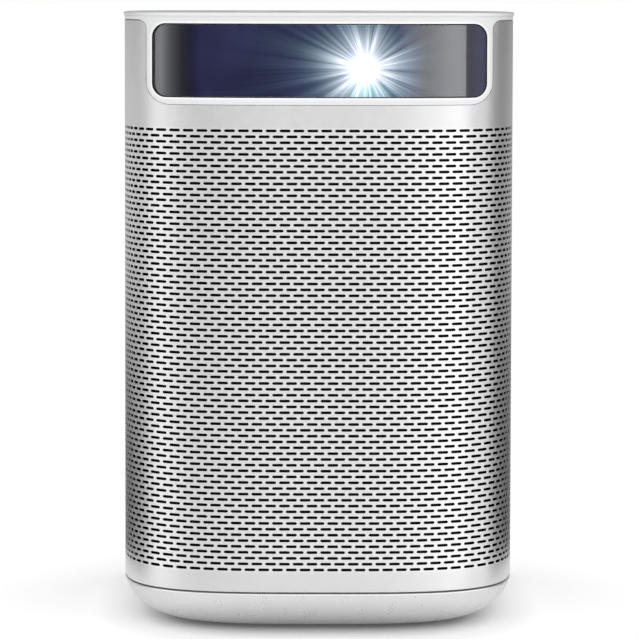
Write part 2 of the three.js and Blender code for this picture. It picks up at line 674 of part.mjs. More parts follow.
function addFocusDrive() {
  const ringBore = rodY(0, 0, BARREL_RADIUS + GAP, GEAR_FRONT - PAST, GEAR_BACK + PAST, 24);
  const ring = cut(slab(gearShape(RING_TEETH, PINION_DIRECTION), [GEAR_FRONT, GEAR_BACK]), ringBore);
  addPart('focus_ring', ring.translate(LENS.x, 0, LENS.z), finishes.greyPlastic);

  const centreDistance = (GEAR_MODULE * (RING_TEETH + PINION_TEETH)) / 2;
  const pinionX = LENS.x + centreDistance * Math.cos(PINION_DIRECTION);
  const pinionZ = LENS.z + centreDistance * Math.sin(PINION_DIRECTION);
  const gapDirection = PINION_DIRECTION + Math.PI + Math.PI / PINION_TEETH;
  const pinionGear = slab(gearShape(PINION_TEETH, gapDirection), [GEAR_FRONT - OVERLAP, GEAR_BACK]);
  const shaft = rodY(0, 0, MOTOR.shaft, GEAR_BACK - OVERLAP, GEAR_BACK + 4, 8);
  const pinion = join(pinionGear, shaft);
  addPart('focus_pinion', pinion.translate(pinionX, 0, pinionZ), finishes.brass);

  const motorFront = GEAR_BACK + 0.8;
  const can = rodY(0, 0, MOTOR.radius, motorFront, motorFront + MOTOR.length, 16);
  const ear = box(-MOTOR.earHalf, MOTOR.earHalf, motorFront, motorFront + MOTOR.earThickness, -2, 2);
  const shaftHole = rodY(0, 0, MOTOR.shaftHole, motorFront - PAST, motorFront + 4.2, 8);
  const motor = cut(join(can, ear.rotateY(Math.PI / 4)), shaftHole);
  addPart('focus_motor', motor.translate(pinionX, 0, pinionZ), finishes.steel);
}

// ---------- Optical engine ----------

function addEngine() {
  const { left, right, front, back, low, high } = ENGINE;
  const snout = ENGINE_SNOUT_HALF;
  const { reach, half, height } = ENGINE_FEET;
  const body = join(
    box(left, right, front + 5, back, low, high),
    box(LENS.x - snout, LENS.x + snout, front, front + 6, low, high - 2),
    rodY(LENS.x, LENS.z, BARREL_RADIUS + BARREL_FLANGE.reach, front, front + 5.5, 28),
    box(left - reach, right + reach, -half, half, low, low + height),
  );
  const sidePocket = (y) => rodX(y, LED_Z, LED_POCKET.radius, right - LED_POCKET.depth, right + PAST, 16);
  const rearPocket = rodY(LED.greenX, LED_Z, LED_POCKET.radius, back - LED_POCKET.depth, back + PAST, 16);
  const lightPath = rodY(LENS.x, LENS.z - 4, 4.0, front - PAST, front + 12, 20);
  const { z, halfHeight, depth } = IMAGER;
  const imagerRows = [z - halfHeight, z + halfHeight];
  const imagerHole = box(left - PAST, left + depth, IMAGER.front, IMAGER.back, ...imagerRows);
  const pockets = [sidePocket(LED.redY), sidePocket(LED.blueY), rearPocket];
  addPart('optical_engine', cut(body, ...pockets, lightPath, imagerHole), finishes.blackPlastic);

  const sideLed = join(
    box(right + GAP, right + LED.plate, -LED.half, LED.half, LED_Z - LED.rise, LED_Z + LED.rise),
    rodX(0, LED_Z, LED.dome, right - LED.domeSunk, right + PAST, 12),
  );
  addPart('red_led', sideLed.clone(), finishes.copper).position.y = LED.redY;
  addPart('blue_led', sideLed.clone(), finishes.copper).position.y = LED.blueY;
  const ledLeft = LED.greenX - LED.half;
  const ledRight = LED.greenX + LED.half;
  const rearLed = join(
    box(ledLeft, ledRight, back + GAP, back + LED.plate, LED_Z - LED.rise, LED_Z + LED.rise),
    rodY(LED.greenX, LED_Z, LED.dome, back - LED.domeSunk, back + PAST, 12),
  );
  addPart('green_led', rearLed, finishes.copper);

  const chipRise = halfHeight + 1;
  const imager = join(
    box(left - 3.4, left - 1.8, -14, 8, low + 3.5, high - 1),
    box(left - 2, left - GAP, IMAGER.front - 1, IMAGER.back + 1, z - chipRise, z + chipRise),
  );
  addPart('imager_board', imager, finishes.circuitBoard);
}

// ---------- Cooling ----------

function addCooling() {
  const { half, front, back, low, high } = SINK;
  const finPitch = (2 * half - FIN_THICKNESS) / (SINK_FINS - 1);
  const fins = [];
  for (let fin = 0; fin < SINK_FINS; fin += 1) {
    const x = -half + fin * finPitch;
    fins.push(box(x, x + FIN_THICKNESS, front, back, low + 1, high));
  }
  const pipeHole = rodX(PIPE_Y, LED_Z, PIPE_RADIUS + 2 * GAP, -half - PAST, half + PAST, 8);
  const sink = cut(join(box(-half, half, front, back, low, low + 2), ...fins), pipeHole);
  addPart('heat_sink', sink, finishes.aluminium);

  const pipePoint = (x, y) => new THREE.Vector3(x, y, LED_Z);
  const bendStart = pipePoint(PIPE_X, PIPE_Y - PIPE_BEND);
  const bendEnd = pipePoint(PIPE_X - PIPE_BEND, PIPE_Y);
  const route = new THREE.CurvePath();
  route.add(new THREE.LineCurve3(pipePoint(PIPE_X, PIPE_START), bendStart));
  route.add(new THREE.QuadraticBezierCurve3(bendStart, pipePoint(PIPE_X, PIPE_Y), bendEnd));
  route.add(new THREE.LineCurve3(bendEnd, pipePoint(-half + 3, PIPE_Y)));
  const section = new THREE.Shape().absarc(0, 0, PIPE_RADIUS, 0, 2 * Math.PI);
  const pipe = new THREE.ExtrudeGeometry(section, { steps: 16, curveSegments: 4, extrudePath: route });
  addPart('heat_pipe', fromSolid(toSolid(pipe)), finishes.copper);
}

function addFan() {
  const { x, y, low, high, half, bore } = FAN;
  const frame = box(x - half, x + half, y - half, y + half, low, high);
  const hub = rodZ(x, y, FAN_HUB.outer, low, low + FAN_HUB.plate, 24);
  const struts = [0, 1, 2].map((number) => {
    const strut = box(0, half - OVERLAP, -1.1, 1.1, low, low + 1.4);
    return strut.rotateZ(Math.PI / 6 + (number * 2 * Math.PI) / 3).translate(x, y, 0);
  });
  const corner = half - 2.6;
  const screwHoles = [];
  for (const side of [-1, 1]) {
    for (const end of [-1, 1]) {
      screwHoles.push(rodZ(x + side * corner, y + end * corner, 1.3, low - PAST, high + PAST, 6));
    }
  }
  const tunnel = rodZ(x, y, bore, low - PAST, high + PAST, 24);
  const housing = join(cut(frame, tunnel, ...screwHoles), hub, ...struts);
  addPart('fan_housing', housing, finishes.blackPlastic);

  const { count, inner, clearance, middle } = FAN_BLADES;
  const blades = [];
  for (let number = 0; number < count; number += 1) {
    const thin = FAN_BLADES.thickness / 2;
    const blade = box(inner, bore - clearance, -thin, thin, -FAN_BLADES.half, FAN_BLADES.half);
    blade.rotateX(Math.PI / 4).rotateZ((number * 2 * Math.PI) / count);
    blades.push(blade.translate(x, y, low + middle));
  }
  const rotorHub = rodZ(x, y, FAN_HUB.rotor, low + FAN_HUB.rise, high - 0.6, 24);
  addPart('fan_rotor', join(rotorHub, ...blades), finishes.greyPlastic);
}

// ---------- Power, sound and boards ----------

function addBattery() {
  const half = CELL_PITCH / 2 + CELL_RADIUS + TRAY_WALL;
  const trayBottom = HOUSING_FLOOR + GAP;
  const centres = [];
  for (const y of [BATTERY_Y - CELL_PITCH / 2, BATTERY_Y + CELL_PITCH / 2]) {
    for (const x of [-CELL_PITCH / 2, CELL_PITCH / 2]) centres.push([x, y]);
  }
  const pocket = ([x, y]) => rodZ(x, y, CELL_RADIUS + GAP, CELL_BOTTOM - GAP, TRAY_TOP + PAST, 16);
  const pockets = centres.map(pocket);
  const tray = box(-half, half, BATTERY_Y - half, BATTERY_Y + half, trayBottom, TRAY_TOP);
  addPart('battery_tray', cut(tray, ...pockets), finishes.blackPlastic);
  const cellTop = CELL_BOTTOM + CELL_LENGTH;
  const shoulder = cellTop - CELL_CAP.height;
  centres.forEach(([x, y], number) => {
    const cell = join(
      rodZ(x, y, CELL_RADIUS, CELL_BOTTOM, shoulder, 16),
      rodZ(x, y, CELL_CAP.radius, shoulder - OVERLAP, cellTop, 8),
    );
    addPart(`battery_cell_${number + 1}`, cell, finishes.cellWrap);
  });
}

/** One speaker facing +X or -X; profiles list [radius, depth behind its front face]. */
function addSpeaker(side, direction) {
  const facing = (profile) => {
    const geometry = revolve(profile, 16).rotateZ(direction * Math.PI / 2);
    return geometry.translate(direction * SPEAKER.front, SPEAKER.y, SPEAKER.z);
  };
  const basket = [
    [17, 0],
    [20, 0],
    [20, 2.2],
    [18.4, 2.2],
    [12.5, 10],
    [6.5, 10],
    [6.5, 8.6],
    [11.6, 8.6],
    [17, 1.8],
    [17, 0],
  ];
  const cone = [
    [0, 3.4],
    [4.4, 4.8],
    [5.2, 5.4],
    [14.4, 1.9],
    [15.6, 1.3],
    [15.6, 2.0],
    [14.4, 2.7],
    [5.4, 6.6],
    [0, 6.6],
  ];
  const magnet = [[0, 10.3], [11, 10.3], [11, 16], [0, 16]];
  addPart(`${side}_speaker_frame`, facing(basket), finishes.blackPlastic);
  addPart(`${side}_speaker_cone`, facing(cone), finishes.conePaper);
  addPart(`${side}_speaker_magnet`, facing(magnet), finishes.steel);
}

function addMainBoard() {
  const { half, front, back, low, high } = MAIN_BOARD;
  const board = box(-half, half, front, back, low, high);
  const chips = CHIPS.map((chip) => {
    return box(chip.left, chip.right, back - OVERLAP, back + chip.height, chip.low, chip.high);
  });
  addPart('main_board', join(board, ...chips), finishes.circuitBoard);
}

// ---------- Rear panel, ports and power key ----------

function portRectangle(port, margin) {
  const low = PORT_FLOOR - margin;
  const high = PORT_FLOOR + port.height + margin;
  return { centre: port.x, half: port.width / 2 + margin, low, high, corner: 0.6 + margin };
}

function addRearPanel() {
  const panelWall = wall(PANEL_FRONT, PANEL_BACK, PANEL.low - PAST, PANEL.high + PAST);
  const face = slab(roundedRectangle(PANEL), REAR_ZONE);
  const through = (x, z, radius) => rodY(x, z, radius + GAP, ...REAR_ZONE, 16);
  const holes = [
    slab(roundedRectangle(portRectangle(HDMI, GAP)), REAR_ZONE, 3),
    slab(roundedRectangle(portRectangle(USB, GAP)), REAR_ZONE, 3),
    through(DC.x, PORT_FLOOR + DC.height / 2, DC.collar),
    through(AUDIO.x, PORT_FLOOR + AUDIO.height / 2, AUDIO.collar),
    through(POWER.x, POWER.z, POWER.radius),
    through(STATUS.x, STATUS.z, STATUS.radius),
  ];
  addPart('rear_panel', cut(common(panelWall, face), ...holes), finishes.capWhite);
}

/** Metal receptacle with a contact tongue, open towards +Y. */
function receptacle(port) {
  const { x, width, back, front } = port;
  const shell = slab(roundedRectangle(portRectangle(port, 0)), [back, front], 3);
  const mouth = slab(roundedRectangle(portRectangle(port, -SHELL_THICKNESS)), [back + 1, front + PAST], 3);
  const reach = width / 2 - 1.6;
  const tongue = box(x - reach, x + reach, back + OVERLAP, front - 1.2, ...port.tongue);
  return join(cut(shell, mouth), tongue);
}

/** Round socket in a square body, its collar reaching into the panel. */
function roundSocket({ x, width, height, bore, collar, body, front }) {
  const z = PORT_FLOOR + height / 2;
  const half = width / 2;
  const housing = box(x - half, x + half, SOCKET_BACK, body, PORT_FLOOR, PORT_FLOOR + height);
  const tube = rodY(x, z, collar, body - OVERLAP, front, 24);
  return cut(join(housing, tube), rodY(x, z, bore, SOCKET_BACK + 1.2, front + PAST, 20));
}

function addPorts() {
  const { half, front, back, low, high } = PORT_BOARD;
  addPart('port_board', box(-half, half, front, back, low, high), finishes.circuitBoard);
  addPart('hdmi_port', receptacle(HDMI), finishes.steel);
  addPart('usb_port', receptacle(USB), finishes.steel);
  const pin = rodY(DC.x, PORT_FLOOR + DC.height / 2, DC_PIN.radius, DC_PIN.back, DC_PIN.front, 12);
  addPart('dc_jack', join(roundSocket(DC), pin), finishes.greyPlastic);
  addPart('audio_jack', roundSocket(AUDIO), finishes.greyPlastic);
}

function addPowerKey() {
  const { x, z, radius, face } = POWER;
  const { end, flangeBack, flangeFront } = POWER_STEM;
  const flangeRadius = radius + KEY_FLANGE.reach;
  const key = revolve([
    [0, end],
    [POWER_STEM.radius, end],
    [POWER_STEM.radius, flangeBack],
    [flangeRadius, flangeBack],
    [flangeRadius, flangeFront],
    [radius, flangeFront],
    [radius, face - 0.3],
    [radius - 0.4, face],
    [0, face],
  ], 16);
  addPart('power_button', key.translate(x, 0, z), finishes.capWhite);
  const { left, right, front, back, half } = POWER_BOARD;
  const tile = POWER_SWITCH.half;
  const board = join(
    box(left, right, front, back, z - half, z + half),
    box(-tile, tile, back - OVERLAP, POWER_SWITCH.face, z - tile, z + tile),
  );
  addPart('power_board', board, finishes.circuitBoard);
  const light = rodY(STATUS.x, STATUS.z, STATUS.radius, STATUS.back, STATUS.front, 16);
  addPart('status_light', light, finishes.lightPipe);
}

// ---------- Sensors behind the window ----------

function addSensors() {
  const { left, right, front, thickness, low, high } = SENSOR_BOARD;
  addPart('sensor_board', box(left, right, front, front + thickness, low, high), finishes.circuitBoard);

  const bodyFront = front - SENSOR_BODY_DEPTH;
  const bodyBack = front - GAP;
  const tubeBack = bodyFront + PAST;
  const cameraBody = box(
    CAMERA.x - CAMERA.half, CAMERA.x + CAMERA.half,
    bodyFront, bodyBack,
    CAMERA.z - CAMERA.half, CAMERA.z + CAMERA.half,
  );
  const cameraTube = rodY(CAMERA.x, CAMERA.z, CAMERA.radius, front - CAMERA.reach, tubeBack, 20);
  const boreFront = front - CAMERA.reach - PAST;
  const cameraBore = rodY(CAMERA.x, CAMERA.z, CAMERA.bore, boreFront, boreFront + 3, 16);
  addPart('focus_camera', cut(join(cameraBody, cameraTube), cameraBore), finishes.blackPlastic);

  const eyeBody = box(
    RECEIVER.x - RECEIVER.halfWidth, RECEIVER.x + RECEIVER.halfWidth,
    bodyFront, bodyBack,
    RECEIVER.z - RECEIVER.halfHeight, RECEIVER.z + RECEIVER.halfHeight,
  );
  const eyeDome = rodY(RECEIVER.x, RECEIVER.z, RECEIVER.radius, front - RECEIVER.reach, tubeBack, 16);
  addPart('remote_receiver', join(eyeBody, eyeDome), finishes.blackPlastic);
}

// ---------- Build ----------

addBase();
addBaseScrews();
addSleeve();
addCap();
addWindow();
addLightShield();
addTopKeys();
addInnerHousing();
addUpperFrame();
addLens();
addFocusDrive();
addEngine();
addCooling();
addFan();
addBattery();
addSpeaker('left', -1);
addSpeaker('right', 1);
addMainBoard();
addRearPanel();
addPorts();
addPowerKey();
addSensors();

export default projector;
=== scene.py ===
"""Home projector: fine shapes, materials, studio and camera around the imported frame. Metres throughout."""
import json
import math

import bpy
import numpy as np
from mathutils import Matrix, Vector

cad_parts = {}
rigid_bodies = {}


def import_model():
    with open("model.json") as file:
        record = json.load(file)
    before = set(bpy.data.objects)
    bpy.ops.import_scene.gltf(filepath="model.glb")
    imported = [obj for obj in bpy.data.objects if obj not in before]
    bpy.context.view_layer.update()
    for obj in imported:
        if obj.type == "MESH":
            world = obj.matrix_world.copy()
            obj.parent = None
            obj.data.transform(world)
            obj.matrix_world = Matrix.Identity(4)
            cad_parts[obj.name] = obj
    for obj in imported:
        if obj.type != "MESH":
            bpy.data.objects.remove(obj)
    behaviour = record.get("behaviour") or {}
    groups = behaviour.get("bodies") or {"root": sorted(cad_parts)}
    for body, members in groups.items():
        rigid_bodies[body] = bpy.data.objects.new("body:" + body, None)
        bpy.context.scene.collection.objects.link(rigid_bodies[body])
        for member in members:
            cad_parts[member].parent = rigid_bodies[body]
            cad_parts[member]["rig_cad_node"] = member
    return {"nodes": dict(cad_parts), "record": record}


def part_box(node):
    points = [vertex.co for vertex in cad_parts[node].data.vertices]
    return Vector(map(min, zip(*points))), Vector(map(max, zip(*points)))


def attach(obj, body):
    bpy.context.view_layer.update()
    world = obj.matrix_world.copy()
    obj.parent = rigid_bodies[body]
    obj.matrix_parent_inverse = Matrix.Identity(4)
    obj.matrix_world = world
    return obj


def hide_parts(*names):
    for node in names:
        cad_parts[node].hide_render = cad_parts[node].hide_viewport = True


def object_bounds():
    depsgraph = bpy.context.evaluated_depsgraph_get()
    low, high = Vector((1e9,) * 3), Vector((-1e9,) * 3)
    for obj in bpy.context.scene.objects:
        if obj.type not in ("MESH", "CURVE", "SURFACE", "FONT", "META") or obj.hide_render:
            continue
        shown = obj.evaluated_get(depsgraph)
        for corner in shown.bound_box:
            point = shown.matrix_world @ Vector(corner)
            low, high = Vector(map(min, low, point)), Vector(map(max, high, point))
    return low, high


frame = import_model()
cad_low, cad_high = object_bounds()
MM = 0.001


# ---------- Dimensions, from the frame where it holds them ----------

def middle(node):
    low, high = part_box(node)
    return (low + high) / 2


HALF_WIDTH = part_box("sleeve")[1].x
HALF_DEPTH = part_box("sleeve")[1].y
OUTLINE_POWER = 3.5
TOP = cad_high.z
RIM_PROUD = cad_high.x - HALF_WIDTH
FRONT = -1.3 * HALF_DEPTH
REAR = 1.3 * HALF_DEPTH

SLEEVE_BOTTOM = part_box("sleeve")[0].z
SLEEVE_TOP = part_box("sleeve")[1].z
SLEEVE_WALL = 1.2 * MM
SLOTS_PER_ROW = 101
SLOT_ROWS = 76
ROW_PITCH = 1.38 * MM
LOWEST_ROW = 14.84 * MM
SLOT_LENGTH = 2.54 * MM
SLOT_HEIGHT = 0.66 * MM
# Painted highlight: how much lighter the slotted band is painted than the plain metal.
SLOT_FIELD_PAINTED_HIGHLIGHT = 0.06

NOTCH_HALF = 41.1 * MM
NOTCH_BOTTOM = 124.3 * MM
NOTCH_CORNER = 5.5 * MM
NOTCH_FLARE = 2.0 * MM
BEZEL_DEPTH = 4.3 * MM
POCKET_DEPTH = 3.1 * MM
POCKET = {"half": 39.6 * MM, "low": 126.0 * MM, "high": 143.4 * MM, "corner": 3.3 * MM}
SIGHT = {"half": 38.4 * MM, "low": 127.3 * MM, "high": 142.2 * MM, "corner": 2.4 * MM}
BAFFLE = {"half": 37.6 * MM, "low": 125.2 * MM, "high": 143.6 * MM, "corner": 3.0 * MM}
WINDOW_FRONT = 0.45 * MM
WINDOW_BACK = 2.0 * MM

# Painted glare of the lit lens on the window, drawn as emission: shifts in X and Z, core and reach in
# millimetres.
GLARE_SHIFT = (0.85 * MM, 0.5 * MM)
GLARE_CORE = 2.8
GLARE_REACH = 7.44
GLARE_STRENGTH = 0.78
RAY_CONTRAST, RAY_DARKNESS = 1.9, 0.62
# Painted glint: a pale green spot below the lens, drawn as emission on the window.
GLINT_SHIFT = (1.2 * MM, -5.2 * MM)
GLINT_SHARPNESS = (220, 1, 420)
# For red, green and blue: power of the painted glare, share of the painted haze glow, share of the painted
# glint.
WINDOW_CHANNELS = [(1.155, 0.015, 0.0), (1.0, 0.015, 0.13), (0.965, 0.042, 0.12)]

KEYS = {"volume_down_button": "minus", "play_button": "play", "volume_up_button": "plus"}
KEY_RADIUS = 5.5 * MM
KEY_GAP = 0.2 * MM

SEAM = SLEEVE_BOTTOM - 0.3 * MM
BASE_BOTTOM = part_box("base_cover")[0].z
BASE_CURVE_WIDTH = 12.5 * MM
BASE_CURVE_HEIGHT = 10.6 * MM
BASE_WALL = 2.2 * MM
SCREWS = [(x * MM, y * MM) for x in (-24, 24) for y in (-27, 27)]
THREAD_DEPTH = 6.9 * MM
BELOW = -1 * MM
POWER_KEY_RADIUS = 4.8 * MM

PANEL = {"half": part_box("rear_panel")[1].x, "low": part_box("rear_panel")[0].z,
         "high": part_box("rear_panel")[1].z, "corner": 4 * MM}

LENS = middle("focus_ring")
BARREL_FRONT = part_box("lens_barrel")[0].y
BARREL_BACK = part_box("lens_barrel")[1].y


# ---------- Outline of the body ----------

class Outline:
    """The body's superellipse, walked from the middle of the front, counter-clockwise from above.

    The distance walked is the greater of the steps along X and along Y: even steps of it stand evenly
    spaced when they are seen from the front or from a side, as the slots do. At the corners they stand a
    little wider apart.
    """

    def __init__(self, samples=14400):
        angle = np.linspace(-math.pi / 2, 1.5 * math.pi, samples + 1)
        power = 2 / OUTLINE_POWER
        self.x = HALF_WIDTH * np.sign(np.cos(angle)) * np.abs(np.cos(angle)) ** power
        self.y = HALF_DEPTH * np.sign(np.sin(angle)) * np.abs(np.sin(angle)) ** power
        steps = np.maximum(np.abs(np.diff(self.x)), np.abs(np.diff(self.y)))
        self.distance = np.concatenate([[0.0], np.cumsum(steps)])
        self.perimeter = self.distance[-1]

    def points(self, distance, depth=0.0):
        """Points at these distances round the body, moved straight in from its surface by a depth."""
        wrapped = np.mod(distance, self.perimeter)
        x = np.interp(wrapped, self.distance, self.x)
        y = np.interp(wrapped, self.distance, self.y)
        normal_x = np.sign(x) * np.abs(x / HALF_WIDTH) ** (OUTLINE_POWER - 1) / HALF_WIDTH
        normal_y = np.sign(y) * np.abs(y / HALF_DEPTH) ** (OUTLINE_POWER - 1) / HALF_DEPTH
        size = np.hypot(normal_x, normal_y)
        return x - depth * normal_x / size, y - depth * normal_y / size

    def loop(self, count, depth=0.0):
        x, y = self.points(np.arange(count) * self.perimeter / count, depth)
        return np.column_stack([x, y])

    def smaller_loop(self, count, inset):
        """The outline with both half sizes reduced by an inset, as the CAD model makes its inner shapes."""
        x, y = self.points(np.arange(count) * self.perimeter / count)
        return np.column_stack([x * (1 - inset / HALF_WIDTH), y * (1 - inset / HALF_DEPTH)])


outline = Outline()


# ---------- Mesh helpers ----------

def make_piece(name, points, faces, smooth_angle=35.0):
    mesh = bpy.data.meshes.new(name)
    mesh.from_pydata([tuple(point) for point in points], [], faces)
    mesh.validate()
    piece = bpy.data.objects.new(name, mesh)
    bpy.context.scene.collection.objects.link(piece)
    smooth(piece, smooth_angle)
    return piece


def smooth(piece, angle=35.0):
    piece.data.shade_smooth()
    piece.data.set_sharp_from_angle(angle=math.radians(angle))


def stack_loops(name, loops, closed_ring=False, smooth_angle=35.0):
    """Skin through loops of equal length, each (points, z), with flat ends unless it closes on itself."""
    count = len(loops[0][0])
    points = [(x, y, z) for ring, z in loops for x, y in ring]
    faces = []
    bands = len(loops) if closed_ring else len(loops) - 1
    for band in range(bands):
        low = band * count
        high = ((band + 1) % len(loops)) * count
        for step in range(count):
            after = (step + 1) % count
            faces.append((low + step, low + after, high + after, high + step))
    if not closed_ring:
        faces.append(tuple(reversed(range(count))))
        faces.append(tuple(range(len(points) - count, len(points))))
    return make_piece(name, points, faces, smooth_angle)


def outline_body(name, profile, count=420, closed_ring=False, smooth_angle=35.0):
    """The body outline carried through a profile of (inset, z)."""
    loops = [(outline.smaller_loop(count, inset), z) for inset, z in profile]
    return stack_loops(name, loops, closed_ring, smooth_angle)


def outline_wall(name, outer, inner, low, high, count=420):
    profile = [(outer, low), (outer, high), (inner, high), (inner, low)]
    return outline_body(name, profile, count, closed_ring=True)


def slab(name, shape, front=FRONT, back=-0.5 * HALF_DEPTH):
    """A flat outline of (x, z) points, counter-clockwise from the front, made solid along Y."""
    count = len(shape)
    points = [(x, front, z) for x, z in shape] + [(x, back, z) for x, z in shape]
    faces = [tuple(range(count)), tuple(reversed(range(count, 2 * count)))]
    for step in range(count):
        after = (step + 1) % count
        faces.append((step, count + step, count + after, after))
    return make_piece(name, points, faces)


def revolve(name, profile, sides=64, smooth_angle=35.0, closed=False):
    """Solid turned about Z through (radius, z) points that run counter-clockwise in their plane."""
    points, faces, rings = [], [], []
    for radius, z in profile:
        if radius == 0:
            rings.append([len(points)] * sides)
            points.append((0, 0, z))
            continue
        rings.append(list(range(len(points), len(points) + sides)))
        for side in range(sides):
            angle = 2 * math.pi * side / sides
            points.append((radius * math.cos(angle), radius * math.sin(angle), z))
    pairs = list(zip(rings, rings[1:]))
    if closed:
        pairs.append((rings[-1], rings[0]))
    for low, high in pairs:
        for side in range(sides):
            after = (side + 1) % sides
            face = list(dict.fromkeys([low[side], low[after], high[after], high[side]]))
            if len(face) > 2:
                faces.append(face)
    return make_piece(name, points, faces, smooth_angle)


def arc(centre_x, centre_z, radius, start, end, steps=10):
    """Points on an arc between two angles in degrees."""
    angles = np.radians(np.linspace(start, end, steps + 1))
    return [(centre_x + radius * math.cos(a), centre_z + radius * math.sin(a)) for a in angles]


def circle(centre_x, centre_z, radius, steps=48):
    return arc(centre_x, centre_z, radius, 0, 360, steps)[:-1]


def rounded_rectangle(half, low, high, corner, centre=0.0, steps=10):
    left, right = centre - half + corner, centre + half - corner
    bottom, top = low + corner, high - corner
    return (arc(right, bottom, corner, -90, 0, steps) + arc(right, top, corner, 0, 90, steps)
            + arc(left, top, corner, 90, 180, steps) + arc(left, bottom, corner, 180, 270, steps))


def shrink(rectangle, amount):
    return {
        "half": rectangle["half"] - amount,
        "low": rectangle["low"] + amount,
        "high": rectangle["high"] - amount,
        "corner": rectangle["corner"] - amount,
    }


def bake_modifiers(piece):
    bpy.context.view_layer.update()
    graph = bpy.context.evaluated_depsgraph_get()
    mesh = bpy.data.meshes.new_from_object(piece.evaluated_get(graph))
    piece.modifiers.clear()
    piece.data = mesh


def boolean(piece, cutter, operation="DIFFERENCE"):
    """Cuts, joins or intersects two closed meshes, leaves the result in the first and removes the second."""
    modifier = piece.modifiers.new(operation, "BOOLEAN")
    modifier.operation = operation
    modifier.solver = "EXACT"
    modifier.object = cutter
    bake_modifiers(piece)
    bpy.data.objects.remove(cutter)
    return piece


def round_edges(piece, width, segments=2, angle=40.0):
    """Rounds the sharp edges a little: baked into a piece's mesh, or left as a modifier on a CAD node."""
    modifier = piece.modifiers.new("round_edges", "BEVEL")
    modifier.width = width
    modifier.segments = segments
    modifier.limit_method = "ANGLE"
    modifier.angle_limit = math.radians(angle)
    modifier.use_clamp_overlap = True
    if "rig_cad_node" not in piece:
        bake_modifiers(piece)
        smooth(piece)


def level_normals(piece):
    """Lets the large faces keep their own direction, so that only the small rounded edges shade smoothly."""
    modifier = piece.modifiers.new("level_normals", "WEIGHTED_NORMAL")
    modifier.mode = "FACE_AREA"
    modifier.weight = 100
    modifier.keep_sharp = True
    if "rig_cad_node" not in piece:
        bake_modifiers(piece)


def shift(piece, x=0.0, y=0.0, z=0.0):
    for vertex in piece.data.vertices:
        vertex.co += Vector((x, y, z))
    return piece


def facing(piece, direction):
    """Turns a piece made about Z so that its +Z end points along -Y (front) or +Y (rear)."""
    for vertex in piece.data.vertices:
        x, y, z = vertex.co
        vertex.co = (x, -z, y) if direction == "front" else (-x, z, y)
    return piece


def place(piece, body, slot, *nodes):
    """Rides the piece on a body, gives it a slot and its finish, and hides the nodes that it stands for."""
    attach(piece, body)
    if nodes:
        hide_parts(*nodes)
    level_normals(piece)
    piece.data.materials.clear()
    piece.data.materials.append(finish(slot))
    return piece


# ---------- Materials ----------

class Nodes:
    """Adds shader nodes with their settings and inputs in one call, and hands back the first output."""

    def __init__(self, tree):
        self.tree = tree

    def add(self, kind, inputs=None, output=0, **settings):
        made = self.tree.nodes.new("ShaderNode" + kind)
        for key, value in settings.items():
            setattr(made, key, value)
        for key, value in (inputs or {}).items():
            if isinstance(value, bpy.types.NodeSocket):
                self.tree.links.new(value, made.inputs[key])
            else:
                made.inputs[key].default_value = value
        return made.outputs[output] if len(made.outputs) else None

    def math(self, operation, first, second=0.0, third=0.0, clamp=False):
        return self.add("Math", {0: first, 1: second, 2: third}, operation=operation, use_clamp=clamp)

    def place(self):
        return self.add("TexCoord", output="Object")

    def noise(self, vector, size, detail=2.0, roughness=0.5):
        """Noise whose lumps are about this many metres across."""
        inputs = {"Vector": vector, "Scale": 1 / size, "Detail": detail, "Roughness": roughness}
        return self.add("TexNoise", inputs)

    def spread(self, value, low, high, start=0.3, end=0.7):
        """Value from start..end carried to low..high."""
        return self.add("MapRange", {0: value, 1: start, 2: end, 3: low, 4: high})

    def blend(self, factor, first, second):
        return self.add("Mix", {0: factor, 6: first, 7: second}, output=2, data_type="RGBA")

    def mix(self, factor, first, second):
        """The first number carried to the second as the factor goes from 0 to 1."""
        return self.add("Mix", {0: factor, 2: first, 3: second}, data_type="FLOAT")

    def part(self, vector, axis):
        return self.add("SeparateXYZ", {0: vector}, output=axis)

    def vector(self, operation, first, second=(0, 0, 0)):
        return self.add("VectorMath", {0: first, 1: second}, operation=operation)

    def length(self, vector):
        return self.add("VectorMath", {0: vector}, output="Value", operation="LENGTH")

    def bell(self, value):
        """1 where the value is 0, fading softly on both sides of it."""
        squared = self.math("MULTIPLY", value, value)
        return self.math("EXPONENT", self.math("MULTIPLY", squared, -1.0))

    def bump(self, height, depth, strength=1.0, below=None):
        inputs = {"Height": height, "Distance": depth, "Strength": strength}
        if below is not None:
            inputs["Normal"] = below
        return self.add("Bump", inputs)

    def stretched(self, vector, scale):
        return self.add("Mapping", {"Vector": vector, "Scale": scale})


def body_reach(nodes, at):
    """How far out a place is: 1 on the body's outline, less inside it and more outside."""
    shares = []
    for axis, half in (("X", HALF_WIDTH), ("Y", HALF_DEPTH)):
        along = nodes.part(at, axis)
        share = nodes.math("ABSOLUTE", nodes.math("DIVIDE", along, half))
        shares.append(nodes.math("POWER", share, OUTLINE_POWER))
    return nodes.math("POWER", nodes.math("ADD", *shares), 1 / OUTLINE_POWER)


def new_material(name):
    material = bpy.data.materials.new(name)
    material.use_nodes = True
    shader = material.node_tree.nodes["Principled BSDF"]
    return material, Nodes(material.node_tree), shader


def link(nodes, shader, **inputs):
    """Links or sets inputs of the main shader; underscores in the names stand for spaces."""
    for key, value in inputs.items():
        socket = shader.inputs[key.replace("_", " ")]
        if isinstance(value, bpy.types.NodeSocket):
            nodes.tree.links.new(value, socket)
        else:
            socket.default_value = value


def rgba(colour, factor=1.0):
    return (colour[0] * factor, colour[1] * factor, colour[2] * factor, 1.0)


